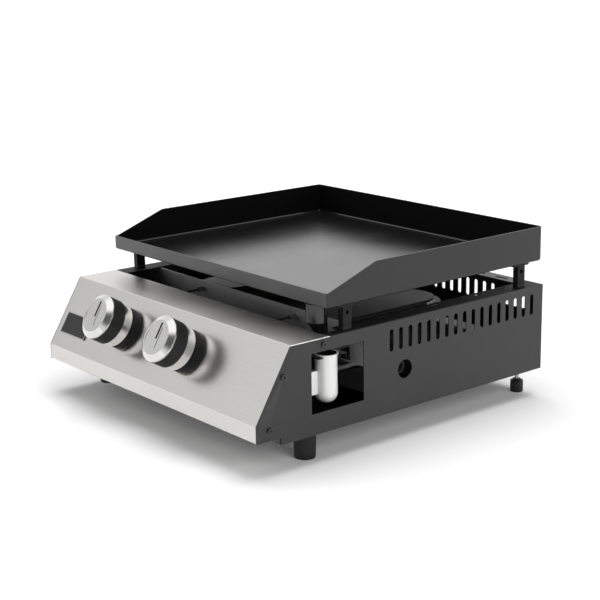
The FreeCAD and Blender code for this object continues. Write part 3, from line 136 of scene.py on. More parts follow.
def softened(node, radius, segments, sharp, seam):
    """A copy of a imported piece, merged into one skin, which stands for the piece. Its edges over
    the sharp angle, in degrees, are rounded. A seam is the depth of a line across its faces,
    where the finish changes."""
    pick(NODES[node])
    bpy.ops.object.duplicate()
    piece = bpy.context.view_layer.objects.active
    bpy.ops.object.parent_clear(type="CLEAR_KEEP_TRANSFORM")
    del piece["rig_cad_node"]
    del piece["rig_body"]
    piece.name = f"{node}.soft"
    piece.data.name = piece.name
    bpy.ops.object.mode_set(mode="EDIT")
    bpy.ops.mesh.select_all(action="SELECT")
    bpy.ops.mesh.remove_doubles(threshold=MERGE_DISTANCE)
    bpy.ops.mesh.customdata_custom_splitnormals_clear()
    bpy.ops.mesh.dissolve_limited(angle_limit=FLAT_WITHIN)
    if seam is not None:
        bpy.ops.mesh.select_all(action="SELECT")
        bpy.ops.mesh.bisect(plane_co=(0.0, seam, 0.0), plane_no=(0.0, 1.0, 0.0))
    bpy.ops.object.mode_set(mode="OBJECT")
    shape_modifier(piece, "BEVEL", width=radius, segments=segments, limit_method="ANGLE",
                   angle_limit=math.radians(sharp), use_clamp_overlap=True,
                   miter_outer="MITER_ARC", harden_normals=False)
    shape_modifier(piece, "TRIANGULATE", quad_method="BEAUTY", ngon_method="BEAUTY")
    pick(piece)
    bpy.ops.object.shade_smooth_by_angle(angle=SMOOTH_WITHIN)
    shape_modifier(piece, "WEIGHTED_NORMAL", mode="FACE_AREA", weight=NORMAL_WEIGHT,
                   keep_sharp=True)
    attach(piece, BODY_OF[node])
    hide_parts(node)
    return piece


def coat(piece, material):
    """Give a piece one material."""
    piece.data.materials.clear()
    piece.data.materials.append(material)


def coat_faces(piece, material, chosen):
    """Give one more material to the faces that the test picks by their middle and normal."""
    piece.data.materials.append(material)
    for face in piece.data.polygons:
        if chosen(face.center, face.normal):
            face.material_index = len(piece.data.materials) - 1


# Shader building blocks

NOISE_LOW, NOISE_HIGH = 0.3, 0.7
COLOUR_A, COLOUR_B, COLOUR_OUT = 6, 7, 2
FINE_PER_PEBBLE = 2.7
FINE_HEIGHT = 0.4
ALONG_STREAKS, ACROSS_STREAKS = 14.0, 2600.0
TURNED_SMUDGES = 60.0
EDGE_GAIN = 12.0
DUST_COLOUR = (0.35, 0.34, 0.32)
ENAMEL_ROUGHNESS = 0.12


def add_node(tree, kind, **settings):
    """Add a shader node with these settings."""
    node = tree.nodes.new(kind)
    for setting, number in settings.items():
        setattr(node, setting, number)
    return node


def feed(tree, socket, value):
    """Link another node's output, or write a plain value."""
    if hasattr(value, "is_output"):
        tree.links.new(value, socket)
    else:
        socket.default_value = value


def new_group(name, inputs, outputs):
    """An empty shader node group with named float or vector inputs and named float outputs."""
    group = bpy.data.node_groups.new(name, "ShaderNodeTree")
    for socket, kind, default in inputs:
        made = group.interface.new_socket(name=socket, in_out="INPUT", socket_type=kind)
        if default is not None:
            made.default_value = default
    for socket in outputs:
        group.interface.new_socket(name=socket, in_out="OUTPUT", socket_type="NodeSocketFloat")
    given = group.nodes.new("NodeGroupInput").outputs
    return group, given, group.nodes.new("NodeGroupOutput").inputs


def math_node(tree, operation, *values):
    """The result of one sum on values or other nodes' outputs."""
    node = add_node(tree, "ShaderNodeMath", operation=operation)
    for socket, value in zip(node.inputs, values):
        feed(tree, socket, value)
    return node.outputs[0]


def noise(tree, vector, scale, detail=2.0, roughness=0.5):
    """Noise with this many blobs per metre."""
    node = add_node(tree, "ShaderNodeTexNoise")
    for socket, value in (("Vector", vector), ("Scale", scale), ("Detail", detail),
                          ("Roughness", roughness)):
        feed(tree, node.inputs[socket], value)
    return node.outputs["Fac"]


def mapped(tree, vector, kind="POINT", **values):
    """A vector that is moved, turned or scaled."""
    node = add_node(tree, "ShaderNodeMapping", vector_type=kind)
    feed(tree, node.inputs["Vector"], vector)
    for socket, value in values.items():
        node.inputs[socket].default_value = value
    return node.outputs["Vector"]


def spread(tree, value, low, high, start=NOISE_LOW, end=NOISE_HIGH, smooth=False):
    """Carry a value's range from start to end over to low to high."""
    node = add_node(tree, "ShaderNodeMapRange",
                    interpolation_type="SMOOTHSTEP" if smooth else "LINEAR")
    for socket, number in (("Value", value), ("From Min", start), ("From Max", end),
                           ("To Min", low), ("To Max", high)):
        feed(tree, node.inputs[socket], number)
    return node.outputs["Result"]


def pebbled_group():
    """Fine pebbled coat: a height, a fine tone and a slow blotch mask."""
    group, given, made = new_group(
        "Pebbled coat",
        [("Vector", "NodeSocketVector", None), ("Pebbles per metre", "NodeSocketFloat", 1500.0),
         ("Blotches per metre", "NodeSocketFloat", 12.0)],
        ["Height", "Tone", "Blotch"])
    pebbles = noise(group, given["Vector"], given["Pebbles per metre"], 1.0)
    finer = math_node(group, "MULTIPLY", given["Pebbles per metre"], FINE_PER_PEBBLE)
    fine = noise(group, given["Vector"], finer, 1.0)
    fine_height = math_node(group, "MULTIPLY", fine, FINE_HEIGHT)
    feed(group, made["Height"], math_node(group, "ADD", pebbles, fine_height))
    feed(group, made["Tone"], spread(group, fine, 0.0, 1.0))
    feed(group, made["Blotch"],
         noise(group, given["Vector"], given["Blotches per metre"], 4.0, 0.6))
    return group


def brushed_group(along):
    """Long fine streaks along one axis: a height, a tone and a slow smudge mask."""
    group, given, made = new_group(
        f"Brushed along {along}",
        [("Vector", "NodeSocketVector", None), ("Smudges per metre", "NodeSocketFloat", 9.0)],
        ["Height", "Tone", "Blotch"])
    scale = [ALONG_STREAKS if axis == along else ACROSS_STREAKS for axis in "XYZ"]
    streaks = noise(group, mapped(group, given["Vector"], Scale=scale), 1.0, 3.0, 0.6)
    feed(group, made["Height"], streaks)
    feed(group, made["Tone"], spread(group, streaks, 0.0, 1.0))
    feed(group, made["Blotch"],
         noise(group, given["Vector"], given["Smudges per metre"], 4.0, 0.6))
    return group


def turned_group():
    """Fine rings round the vector's Z axis, as a lathe leaves them: a height, a tone and a slow
    smudge mask."""
    group, given, made = new_group(
        "Turned rings",
        [("Vector", "NodeSocketVector", None), ("Rings per metre", "NodeSocketFloat", 2400.0)],
        ["Height", "Tone", "Blotch"])
    parts = add_node(group, "ShaderNodeSeparateXYZ")
    feed(group, parts.inputs["Vector"], given["Vector"])
    squared = [math_node(group, "MULTIPLY", parts.outputs[axis], parts.outputs[axis])
               for axis in "XY"]
    radius = math_node(group, "SQRT", math_node(group, "ADD", *squared))
    across = add_node(group, "ShaderNodeCombineXYZ")
    for socket, place in (("X", radius), ("Z", parts.outputs["Z"])):
        feed(group, across.inputs[socket],
             math_node(group, "MULTIPLY", place, given["Rings per metre"]))
    rings = noise(group, across.outputs["Vector"], 1.0, 3.0, 0.6)
    feed(group, made["Height"], rings)
    feed(group, made["Tone"], spread(group, rings, 0.0, 1.0))
    feed(group, made["Blotch"], noise(group, given["Vector"], TURNED_SMUDGES, 3.0, 0.6))
    return group


def wear_group():
    """Where edges are rubbed and where dust lies: two masks from the surface's pointiness and
    its facing up."""
    group, given, made = new_group(
        "Wear and dust",
        [("Vector", "NodeSocketVector", None), ("Pointiness", "NodeSocketFloat", 0.5),
         ("Normal", "NodeSocketVector", None), ("Edge start", "NodeSocketFloat", 0.53),
         ("Breaks per metre", "NodeSocketFloat", 60.0)],
        ["Edge", "Dust"])
    breaks = noise(group, given["Vector"], given["Breaks per metre"], 3.0, 0.6)
    beyond = math_node(group, "SUBTRACT", given["Pointiness"], given["Edge start"])
    edge = math_node(group, "MULTIPLY", math_node(group, "MULTIPLY", beyond, EDGE_GAIN),
                     spread(group, breaks, 0.2, 1.0))
    clamped = add_node(group, "ShaderNodeClamp")
    feed(group, clamped.inputs["Value"], edge)
    feed(group, made["Edge"], clamped.outputs["Result"])
    parts = add_node(group, "ShaderNodeSeparateXYZ")
    feed(group, parts.inputs["Vector"], given["Normal"])
    upward = math_node(group, "MAXIMUM", parts.outputs["Z"], 0.0)
    feed(group, made["Dust"],
         math_node(group, "MULTIPLY", upward, spread(group, breaks, 0.0, 1.0)))
    return group


GROUP_MAKERS = {
    "pebbled": pebbled_group,
    "brushed x": lambda: brushed_group("X"),
    "brushed y": lambda: brushed_group("Y"),
    "brushed z": lambda: brushed_group("Z"),
    "turned": turned_group,
    "wear": wear_group,
}
GROUPS = {}


def place_group(tree, name, vector, **values):
    """Place the shared node group of this name, built the first time it is asked for."""
    if name not in GROUPS:
        GROUPS[name] = GROUP_MAKERS[name]()
    node = add_node(tree, "ShaderNodeGroup", node_tree=GROUPS[name])
    feed(tree, node.inputs["Vector"], vector)
    for socket, value in values.items():
        node.inputs[socket.replace("_", " ")].default_value = value
    return node


def mixed(tree, factor, first, second):
    """A colour between two, by a mask."""
    node = add_node(tree, "ShaderNodeMix", data_type="RGBA", clamp_factor=True)
    feed(tree, node.inputs["Factor"], factor)
    for socket, colour in ((node.inputs[COLOUR_A], first), (node.inputs[COLOUR_B], second)):
        feed(tree, socket, colour if hasattr(colour, "is_output") else (*colour, 1.0))
    return node.outputs[COLOUR_OUT]


def shaded(colour, factor):
    """A colour made lighter or darker."""
    return tuple(min(channel * factor, 1.0) for channel in colour)


def finish_material(name, colour, texture, rough, depth, metallic=0.0, edge=None, dust=0.0,
                    variation=0.12, specular=0.5, enamel=0.0, axis=None, tint=1.0,
                    **texture_values):
    """A material whose tone, roughness and relief, in mm, come from a shared group, with rubbed
    edges and dust."""
    material = bpy.data.materials.new(name)
    material.use_nodes = True
    tree = material.node_tree
    shader = tree.nodes["Principled BSDF"]
    place = add_node(tree, "ShaderNodeTexCoord").outputs["Object"]
    pattern = place
    if axis is not None:
        middle, along = axis
        turn = Vector(along).to_track_quat("Z", "Y").to_euler()
        pattern = mapped(tree, place, "TEXTURE", Location=middle, Rotation=turn)
    surface = place_group(tree, texture, pattern, **texture_values)
    # A painted shade factor darkens a whole finish; the variation is its random tone
    base = mixed(tree, surface.outputs["Tone"], shaded(colour, tint - variation),
                 shaded(colour, tint + variation))
    if edge is not None or dust:
        geometry = add_node(tree, "ShaderNodeNewGeometry")
        wear = place_group(tree, "wear", place)
        feed(tree, wear.inputs["Pointiness"], geometry.outputs["Pointiness"])
        feed(tree, wear.inputs["Normal"], geometry.outputs["Normal"])
        if edge is not None:
            base = mixed(tree, wear.outputs["Edge"], base, edge)
        if dust:
            lying = math_node(tree, "MULTIPLY", wear.outputs["Dust"], dust)
            base = mixed(tree, lying, base, DUST_COLOUR)
    feed(tree, shader.inputs["Base Color"], base)
    feed(tree, shader.inputs["Roughness"], spread(tree, surface.outputs["Blotch"], *rough))
    bump = add_node(tree, "ShaderNodeBump")
    bump.inputs["Strength"].default_value = 1.0
    bump.inputs["Distance"].default_value = depth * MM
    feed(tree, bump.inputs["Height"], surface.outputs["Height"])
    feed(tree, shader.inputs["Normal"], bump.outputs["Normal"])
    shader.inputs["Metallic"].default_value = metallic
    shader.inputs["Specular IOR Level"].default_value = specular
    if enamel:
        shader.inputs["Coat Weight"].default_value = enamel
        shader.inputs["Coat Roughness"].default_value = ENAMEL_ROUGHNESS
    return material


# Finishes

BLACK = (0.004, 0.004, 0.0042)
# Near-black standing for painted shade under and inside the cooking plate
PAINTED_SHADE_BLACK = (0.002, 0.002, 0.002)
CABINET_COAT = dict(colour="cabinet", texture="pebbled", depth=0.012, Pebbles_per_metre=1700.0)
PLATE_COAT = dict(texture="pebbled", Pebbles_per_metre=1200.0, Blotches_per_metre=8.0)
FRONT_METAL = dict(colour="stainless", texture="brushed x", metallic=1.0, depth=0.008,
                   variation=0.03)
SHEET_METAL = dict(texture="pebbled", depth=0.01, variation=0.08, Pebbles_per_metre=240.0,
                   Blotches_per_metre=30.0)
FINISHES = {
    "powder coat": dict(
        CABINET_COAT, rough=(0.34, 0.43), edge=(0.03, 0.03, 0.03), dust=0.01, specular=0.62),
    "matt coat": dict(
        CABINET_COAT, rough=(0.55, 0.65), edge=(0.02, 0.02, 0.02), specular=0.25),
    "plate coat": dict(
        PLATE_COAT, colour="plate", rough=(0.3, 0.38), depth=0.01, edge=(0.04, 0.04, 0.04),
        dust=0.01),
    "lip coat": dict(
        PLATE_COAT, colour="plate", rough=(0.34, 0.42), depth=0.01, edge=(0.04, 0.04, 0.04),
        specular=0.95),
    # Painted shade: a darker, duller copy of the plate coat for the inner walls and the funnel
    "seasoned coat": dict(
        PLATE_COAT, colour=PAINTED_SHADE_BLACK, rough=(0.6, 0.75), depth=0.01, specular=0.08),
    # Painted shade: a darker, duller copy of the plate coat under the plate
    "underside coat": dict(
        PLATE_COAT, colour=PAINTED_SHADE_BLACK, rough=(0.6, 0.75), depth=0.01, specular=0.05),
    "cooking surface": dict(
        PLATE_COAT, colour="plate", rough=(0.18, 0.24), depth=0.005, dust=0.01, specular=1.0),
    "stainless": dict(FRONT_METAL, rough=(0.2, 0.27)),
    "stainless top": dict(FRONT_METAL, rough=(0.36, 0.44)),
    # Painted shade: the front lip is a darker copy of the front panel's metal
    "stainless lip": dict(FRONT_METAL, rough=(0.3, 0.38), tint=0.9),
    # Painted highlight: near-white for the right side panel's edge beside the front panel
    "bright edge": dict(
        colour=(0.9, 0.89, 0.87), texture="brushed x", rough=(0.3, 0.4), metallic=0.2,
        depth=0.004, variation=0.03),
    "zinc": dict(
        colour=(0.42, 0.42, 0.41), texture="pebbled", rough=(0.3, 0.45), metallic=1.0,
        depth=0.01, Pebbles_per_metre=700.0, Blotches_per_metre=60.0),
    "galvanised": dict(
        SHEET_METAL, colour=(0.6, 0.6, 0.605), rough=(0.42, 0.55), metallic=0.9, dust=0.05),
    # Painted shade: near-black sheet for the cup's inside and the heat shield
    "blued sheet": dict(
        SHEET_METAL, colour=(0.03, 0.03, 0.032), rough=(0.5, 0.65), metallic=0.6,
        specular=0.2),
    "burner steel": dict(
        colour=(0.05, 0.049, 0.047), texture="brushed y", rough=(0.35, 0.5), metallic=1.0,
        depth=0.01),
    "burner cap": dict(
        colour=(0.02, 0.02, 0.02), texture="brushed y", rough=(0.3, 0.42), metallic=0.2,
        depth=0.01, specular=0.3),
    # Painted highlight: light grey for the walls of the burner ports
    "cut metal": dict(
        colour=(0.75, 0.74, 0.72), texture="brushed z", rough=(0.35, 0.5), metallic=0.2,
        depth=0.004),
    "polished": dict(
        colour=(0.9, 0.9, 0.88), texture="brushed z", rough=(0.26, 0.36), metallic=0.1,
        depth=0.004, variation=0.03),
    "aluminium": dict(
        colour=(0.5, 0.5, 0.5), texture="brushed y", rough=(0.3, 0.42), metallic=1.0,
        depth=0.006),
    "brass": dict(
        colour=(0.5, 0.36, 0.15), texture="brushed y", rough=(0.28, 0.4), metallic=1.0,
        depth=0.006),
    "black fitting": dict(
        colour=(0.1, 0.1, 0.1), texture="brushed x", rough=(0.3, 0.42), metallic=0.7,
        depth=0.006),
    "rubber": dict(
        colour=BLACK, texture="pebbled", rough=(0.55, 0.7), depth=0.03, dust=0.05,
        Pebbles_per_metre=1000.0),
    "moulded black": dict(
        colour=BLACK, texture="pebbled", rough=(0.38, 0.5), depth=0.012,
        Pebbles_per_metre=2200.0),
    # Painted highlight: a lighter, glossier black for the tops of the grip's ribs
    "rib tops": dict(
        colour=(0.012, 0.012, 0.012), texture="pebbled", rough=(0.36, 0.46), depth=0.004,
        Pebbles_per_metre=2200.0),
    # Black print for the pointers, also painted shade in the knobs' grooves
    "black ink": dict(
        colour=(0.004, 0.004, 0.004), texture="pebbled", rough=(0.5, 0.6), depth=0.004,
        specular=0.2, Pebbles_per_metre=2200.0),
    "gloss enamel": dict(
        colour=(0.006, 0.006, 0.006), texture="pebbled", rough=(0.16, 0.24), depth=0.006,
        enamel=0.4, Pebbles_per_metre=500.0),
    # Painted shade: the electrodes' ceramic is a dark grey
    "ceramic": dict(
        colour=(0.16, 0.155, 0.15), texture="pebbled", rough=(0.2, 0.3), depth=0.01,
        Pebbles_per_metre=900.0),
}
for side in SIDES:
    turning = JOINTS[f"knob_{side}_turn"]
    FINISHES[f"spun aluminium {side}"] = dict(
        colour="knob", texture="turned", rough=(0.16, 0.22), metallic=1.0, depth=0.008,
        variation=0.06, axis=(turning["pos_m"], turning["axis"]))
MATERIALS = {}


def finish_of(name):
    """The finish of this name, made the first time it is asked for."""
    if name not in MATERIALS:
        values = dict(FINISHES[name])
        if isinstance(values["colour"], str):
            colours = bpy.context.scene.griddle_colours
            values["colour"] = tuple(getattr(colours, values["colour"]))
        MATERIALS[name] = finish_material(name.capitalize(), **values)
    return MATERIALS[name]


# Settings


class GriddleSizes(bpy.types.PropertyGroup):
    """How far edges are softened."""
    sheet_edge: FloatProperty(
        name="Sheet edge", description="Rounding of cut sheet edges", default=0.25 * MM,
        min=0.0, subtype="DISTANCE", unit="LENGTH")
    plate_edge: FloatProperty(
        name="Plate edge", description="Rounding of the cooking plate's rim",
        default=0.6 * MM, min=0.0, subtype="DISTANCE", unit="LENGTH")
    turned_edge: FloatProperty(
        name="Turned edge", description="Rounding of turned and moulded parts",
        default=0.3 * MM, min=0.0, subtype="DISTANCE", unit="LENGTH")
    edge_segments: IntProperty(
        name="Edge segments", description="Faces across each rounded edge", default=2, min=1,
        max=4)


class GriddleColours(bpy.types.PropertyGroup):
    """The main finishes' colours."""
    cabinet: FloatVectorProperty(
        name="Cabinet", description="Powder coat of the cabinet",
        default=(0.0045, 0.0045, 0.0047), size=3, min=0.0, max=1.0, subtype="COLOR")
    plate: FloatVectorProperty(
        name="Plate", description="Coat of the cooking plate",
        default=(0.0045, 0.0045, 0.0047), size=3, min=0.0, max=1.0, subtype="COLOR")
    stainless: FloatVectorProperty(
        name="Front panel", description="Brushed front panel",
        default=(0.7, 0.685, 0.665), size=3, min=0.0, max=1.0, subtype="COLOR")
    knob: FloatVectorProperty(
        name="Knobs", description="Turned metal of the knobs",
        default=(0.68, 0.675, 0.66), size=3, min=0.0, max=1.0, subtype="COLOR")


# Stage

CAMERA_LENS = 84.38
CAMERA_SENSOR = 36.0
CAMERA_RANGE = 100.0
CAMERA_PLACE = (1.3539, -1.08345, 0.5737)
CAMERA_TURN = (75.504, 0.856, 50.478)
# Name, place, the point that it looks at, width and height in metres, and watts
LAMPS = (
    ("overhead", (-0.1, 0.25, 1.9), (0.0, 0.0, 0.1), (2.0, 1.8), 44.0),
    ("front_left", (-1.9, -1.5, 1.2), (0.0, 0.0, 0.12), (1.6, 1.4), 18.0),
    ("right", (2.3, -0.2, 1.1), (0.0, 0.0, 0.12), (1.4, 1.4), 26.0),
)
FLOOR_SIZE = 60.0
PAPER = (0.9, 0.9, 0.9, 1.0)
# How far off the paper starts to turn plain white and has turned, and its glow at both
GLOW_START, GLOW_END = 0.35, 2.6
GLOW_NEAR, GLOW_FAR = 0.06, 1.0
# What metal mirrors: a direction, how near to it the change starts and ends, as the cosine of
# the angle between, and the brightness outside and inside
CEILING = ((-0.1, -0.1, 1.0), 0.7, 0.98, 0.87, 1.4)
DARK_CORNER = ((0.42, -0.72, 0.55), 0.84, 0.97, 1.0, 0.12)
WALL = ((-0.93, -0.33, 0.2), 0.94, 1.0, 1.0, 0.76)
WINDOW = ((-0.76, 0.58, 0.29), 0.8, 0.97, 1.0, 1.28)
WORLD_LIGHT = 0.12


def soft_lamp(name, place, aim, size, power):
    """A large lamp that lights the object and isn't mirrored in it."""
    bpy.ops.object.light_add(type="AREA", location=place)
    lamp = bpy.context.view_layer.objects.active
    lamp.name = name
    lamp.data.shape = "RECTANGLE"
    lamp.data.size, lamp.data.size_y = size
    lamp.data.energy = power
    lamp.visible_glossy = False
    lamp.rotation_euler = (Vector(aim) - Vector(place)).to_track_quat("-Z", "Y").to_euler()


def plain_white_masks(tree):
    """Two masks: what the camera sees directly or through glass, and what it sees in mirrors."""
    path = add_node(tree, "ShaderNodeLightPath")
    seen = math_node(tree, "MAXIMUM", path.outputs["Is Camera Ray"],
                     path.outputs["Is Transmission Ray"])
    return seen, path.outputs["Is Glossy Ray"]


class GRIDDLE_OT_stage(bpy.types.Operator):
    """Floor, soft lamps, white surroundings and the camera"""
    bl_idname = "griddle.stage"
    bl_label = "Stage"

    def execute(self, context):
        context.scene.view_settings.view_transform = "Standard"
        self.place_camera(context.scene)
        self.lay_floor(context)
        self.surround(context.scene)
        for lamp in LAMPS:
            soft_lamp(*lamp)
        return {"FINISHED"}

    def place_camera(self, scene):
        """The camera at the photograph's viewing angle."""
        camera = bpy.data.cameras.new("Camera")
        camera.lens = CAMERA_LENS
        camera.sensor_width = CAMERA_SENSOR
        camera.clip_end = CAMERA_RANGE
        eye = bpy.data.objects.new("Camera", camera)
        scene.collection.objects.link(eye)
        eye.location = CAMERA_PLACE
        eye.rotation_euler = tuple(math.radians(angle) for angle in CAMERA_TURN)
        scene.camera = eye

    def lay_floor(self, context):
        """White paper that keeps the shadow, and turns to plain white further off, where the
        lamps fade."""
        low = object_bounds()[0].z
        bpy.ops.mesh.primitive_plane_add(size=FLOOR_SIZE, location=(0.0, 0.0, low))
        floor = context.view_layer.objects.active
        floor.name = "floor"
        floor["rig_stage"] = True
        paper = bpy.data.materials.new("White paper floor")
        paper.use_nodes = True
        tree = paper.node_tree
        tree.nodes.clear()
        matt = add_node(tree, "ShaderNodeBsdfDiffuse")
        matt.inputs["Color"].default_value = PAPER
        away = add_node(tree, "ShaderNodeVectorMath", operation="LENGTH")
        feed(tree, away.inputs[0], add_node(tree, "ShaderNodeTexCoord").outputs["Object"])
        seen, glossy = plain_white_masks(tree)
        far = spread(tree, away.outputs["Value"], GLOW_NEAR, GLOW_FAR, GLOW_START, GLOW_END,
                     smooth=True)
        glow = add_node(tree, "ShaderNodeEmission")
        looked_at = math_node(tree, "MAXIMUM", seen, glossy)
        feed(tree, glow.inputs["Strength"], math_node(tree, "MULTIPLY", looked_at, far))
        both = add_node(tree, "ShaderNodeAddShader")
        feed(tree, both.inputs[0], matt.outputs["BSDF"])
        feed(tree, both.inputs[1], glow.outputs["Emission"])
        out = add_node(tree, "ShaderNodeOutputMaterial")
        feed(tree, out.inputs["Surface"], both.outputs["Shader"])
        coat(floor, paper)

    def surround(self, scene):
        """Plain white to the eye. Shiny metal mirrors a studio with a bright ceiling and window,
        a dimmer wall and one dark corner."""
        world = bpy.data.worlds.new("Studio")
        scene.world = world
        world.use_nodes = True
        tree = world.node_tree
        background = tree.nodes["Background"]
        background.inputs["Color"].default_value = (1.0, 1.0, 1.0, 1.0)
        direction = add_node(tree, "ShaderNodeTexCoord").outputs["Generated"]
        seen, mirrored = plain_white_masks(tree)
        for towards, start, end, outside, inside in (CEILING, DARK_CORNER, WALL, WINDOW):
            dot = add_node(tree, "ShaderNodeVectorMath", operation="DOT_PRODUCT")
            feed(tree, dot.inputs[0], direction)
            dot.inputs[1].default_value = Vector(towards).normalized()
            bright = spread(tree, dot.outputs["Value"], outside, inside, start, end, smooth=True)
            mirrored = math_node(tree, "MULTIPLY", mirrored, bright)
        looked_at = math_node(tree, "MAXIMUM", seen, mirrored)
        strength = math_node(tree, "MAXIMUM", looked_at, WORLD_LIGHT)
        feed(tree, background.inputs["Strength"], strength)


# Pieces


def dress(nodes, finish, radius=None, sharp=SHARP_OVER, seam=None):
    """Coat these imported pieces, with softened edges where a radius is given."""
    segments = bpy.context.scene.griddle_sizes.edge_segments
    dressed = []
    for node in nodes:
        piece = NODES[node] if radius is None else softened(node, radius, segments, sharp, seam)
        coat(piece, finish_of(finish))
        dressed.append(piece)
    return dressed


def both_sides(*stems):
    """The left and right nodes of these names."""
    return [f"{stem}_{side}" for stem in stems for side in SIDES]


def measures_from(joint):
    """How far along a joint's axis a point is, and how far from the axis, as two functions."""
    axis = Vector(joint["axis"])
    place = Vector(joint["pos_m"])

    def height(point):
        return axis.dot(point - place)

    def reach(point):
        return (point - place - axis * height(point)).length

    return height, reach


class GRIDDLE_OT_cabinet(bpy.types.Operator):
    """Side panels, rear panel, bottom pan and the stainless front"""
    bl_idname = "griddle.cabinet"
    bl_label = "Cabinet"

    FACE_DEPTH = 0.1 * MM
    EDGE_WIDTH = 0.2 * MM
    EDGE_DROP = 1.5 * MM

    def execute(self, context):
        edge = context.scene.griddle_sizes.sheet_edge
        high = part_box("front_panel")[1]
        left, right = dress(both_sides("side_panel"), "powder coat", edge, seam=high.y)
        dress(["rear_panel", "bottom_pan"], "powder coat", edge)
        [front] = dress(["front_panel"], "stainless", edge)

        def top(middle, normal):
            return normal.z > 0.98 and middle.z > high.z - self.FACE_DEPTH

        def lip(middle, normal):
            return normal.y < -0.98

        def flange(middle, normal):
            return normal.z > 0.9 and middle.y > high.y

        def painted_highlight_end(middle, normal):
            return (middle.x > high.x - self.EDGE_WIDTH and middle.y < high.y
                    and middle.z > high.z - self.EDGE_DROP
                    and -0.5 < normal.x < 0.95 and normal.z > 0.2)

        coat_faces(front, finish_of("stainless top"), top)
        # Painted shade on the front lip
        coat_faces(front, finish_of("stainless lip"), lip)
        for panel in (left, right):
            coat_faces(panel, finish_of("matt coat"), flange)
        # Painted highlight on the right side panel's top edge beside the front panel
        coat_faces(right, finish_of("bright edge"), painted_highlight_end)
        return {"FINISHED"}


class GRIDDLE_OT_plate(bpy.types.Operator):
    """Cooking plate with its legs, caps and drain spout"""
    bl_idname = "griddle.plate"
    bl_label = "Cooking plate"

    THICKNESS = 4 * MM
    SHARP_ANGLE = 25.0
    RIM = 2 * MM
    LIP_DEPTH = 1 * MM
    FUNNEL_DROP = 15 * MM

    def execute(self, context):
        sizes = context.scene.griddle_sizes
        [tray] = dress(["griddle_tray"], "plate coat", sizes.plate_edge, self.SHARP_ANGLE)
        low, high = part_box("griddle_tray")
        floor = low.z + self.THICKNESS

        def cooking_face(middle, normal):
            return normal.z > 0.6 and middle.z < floor + self.RIM

        def front_lip(middle, normal):
            return normal.y < -0.7 and middle.y < low.y + self.LIP_DEPTH

        def underside(middle, normal):
            return normal.z < -0.6

        def inner_wall(middle, normal):
            return (abs(normal.z) < 0.5 and middle.z > floor
                    and abs(middle.x) < high.x - self.RIM
                    and low.y + self.RIM < middle.y < high.y - self.RIM)

        def funnel(middle, normal):
            return middle.z < low.z - self.FUNNEL_DROP

        coat_faces(tray, finish_of("cooking surface"), cooking_face)
        coat_faces(tray, finish_of("lip coat"), front_lip)
        # Painted shade on the plate's underside
        coat_faces(tray, finish_of("underside coat"), underside)
        # Painted shade: the plate's inner walls get the darker coat
        coat_faces(tray, finish_of("seasoned coat"), inner_wall)
        dress(["leg_front_left", "leg_front_right", "leg_rear_left", "leg_rear_right"],
              "matt coat", sizes.turned_edge)
        dress(["leg_caps"], "rubber", sizes.turned_edge)
        [spout] = dress(["drain_spout"], "gloss enamel", sizes.turned_edge)
        # Painted shade: the funnel below the spout gets the darker coat
        coat_faces(spout, finish_of("seasoned coat"), funnel)
        return {"FINISHED"}


class GRIDDLE_OT_grease_cup(bpy.types.Operator):
    """Grease cup and the fork it hangs in"""
    bl_idname = "griddle.grease_cup"
    bl_label = "Grease cup"

    RIM = 2 * MM

    def execute(self, context):
        edge = context.scene.griddle_sizes.sheet_edge
        [cup] = dress(["grease_cup"], "polished", edge)
        low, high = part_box("grease_cup")
        across = (high.x - low.x) / 2
        axis = Vector(((low.x + high.x) / 2, high.y - across, 0.0))

        # Painted shade: the inside of the cup is made near-black
        def painted_shade_inside(middle, normal):
            away = Vector((middle.x, middle.y, 0.0)) - axis
            return away.length < across - self.RIM and (away.dot(normal) < 0 or normal.z > 0.5)

        coat_faces(cup, finish_of("blued sheet"), painted_shade_inside)
        dress(["cup_holder"], "powder coat", edge)
        return {"FINISHED"}


class GRIDDLE_OT_knobs(bpy.types.Operator):
    """Knobs with their grips, pointers, bezels and stems"""
    bl_idname = "griddle.knobs"
    bl_label = "Knobs"

    DISC_REACH = 17 * MM
    GROOVE_REACH = 19 * MM
    GROOVE_TOP = 0.05 * MM
    GROOVE_DEPTH = 1.8 * MM
    RIB_TOP = 0.12 * MM

    def execute(self, context):
        edge = context.scene.griddle_sizes.turned_edge
        for side in SIDES:
            self.dress_knob(side, edge)
        dress(both_sides("knob_pointer"), "black ink", edge / 4)
        dress(both_sides("valve_stem"), "zinc")
        return {"FINISHED"}

    def dress_knob(self, side, edge):
        """One knob, with painted shade in the groove of its disc and painted highlights on its
        grip's ribs.
        """
        height, reach = measures_from(JOINTS[f"knob_{side}_turn"])
        dress([f"knob_bezel_{side}"], "matt coat", edge)
        [body] = dress([f"knob_body_{side}"], f"spun aluminium {side}", edge)
        disc = max(height(face.center) for face in body.data.polygons
                   if reach(face.center) < self.DISC_REACH)

        def groove(middle, normal):
            return (reach(middle) < self.GROOVE_REACH
                    and disc - self.GROOVE_DEPTH < height(middle) < disc - self.GROOVE_TOP)

        # Painted shade: the groove's walls are coloured black
        coat_faces(body, finish_of("black ink"), groove)
        [grip] = dress([f"knob_grip_{side}"], "moulded black", edge / 2)
        outside = max(reach(corner.co) for corner in grip.data.vertices)

        def painted_highlight_rib(middle, normal):
            return reach(middle) > outside - self.RIB_TOP

        # Painted highlight on the outermost faces of the ribs
        coat_faces(grip, finish_of("rib tops"), painted_highlight_rib)


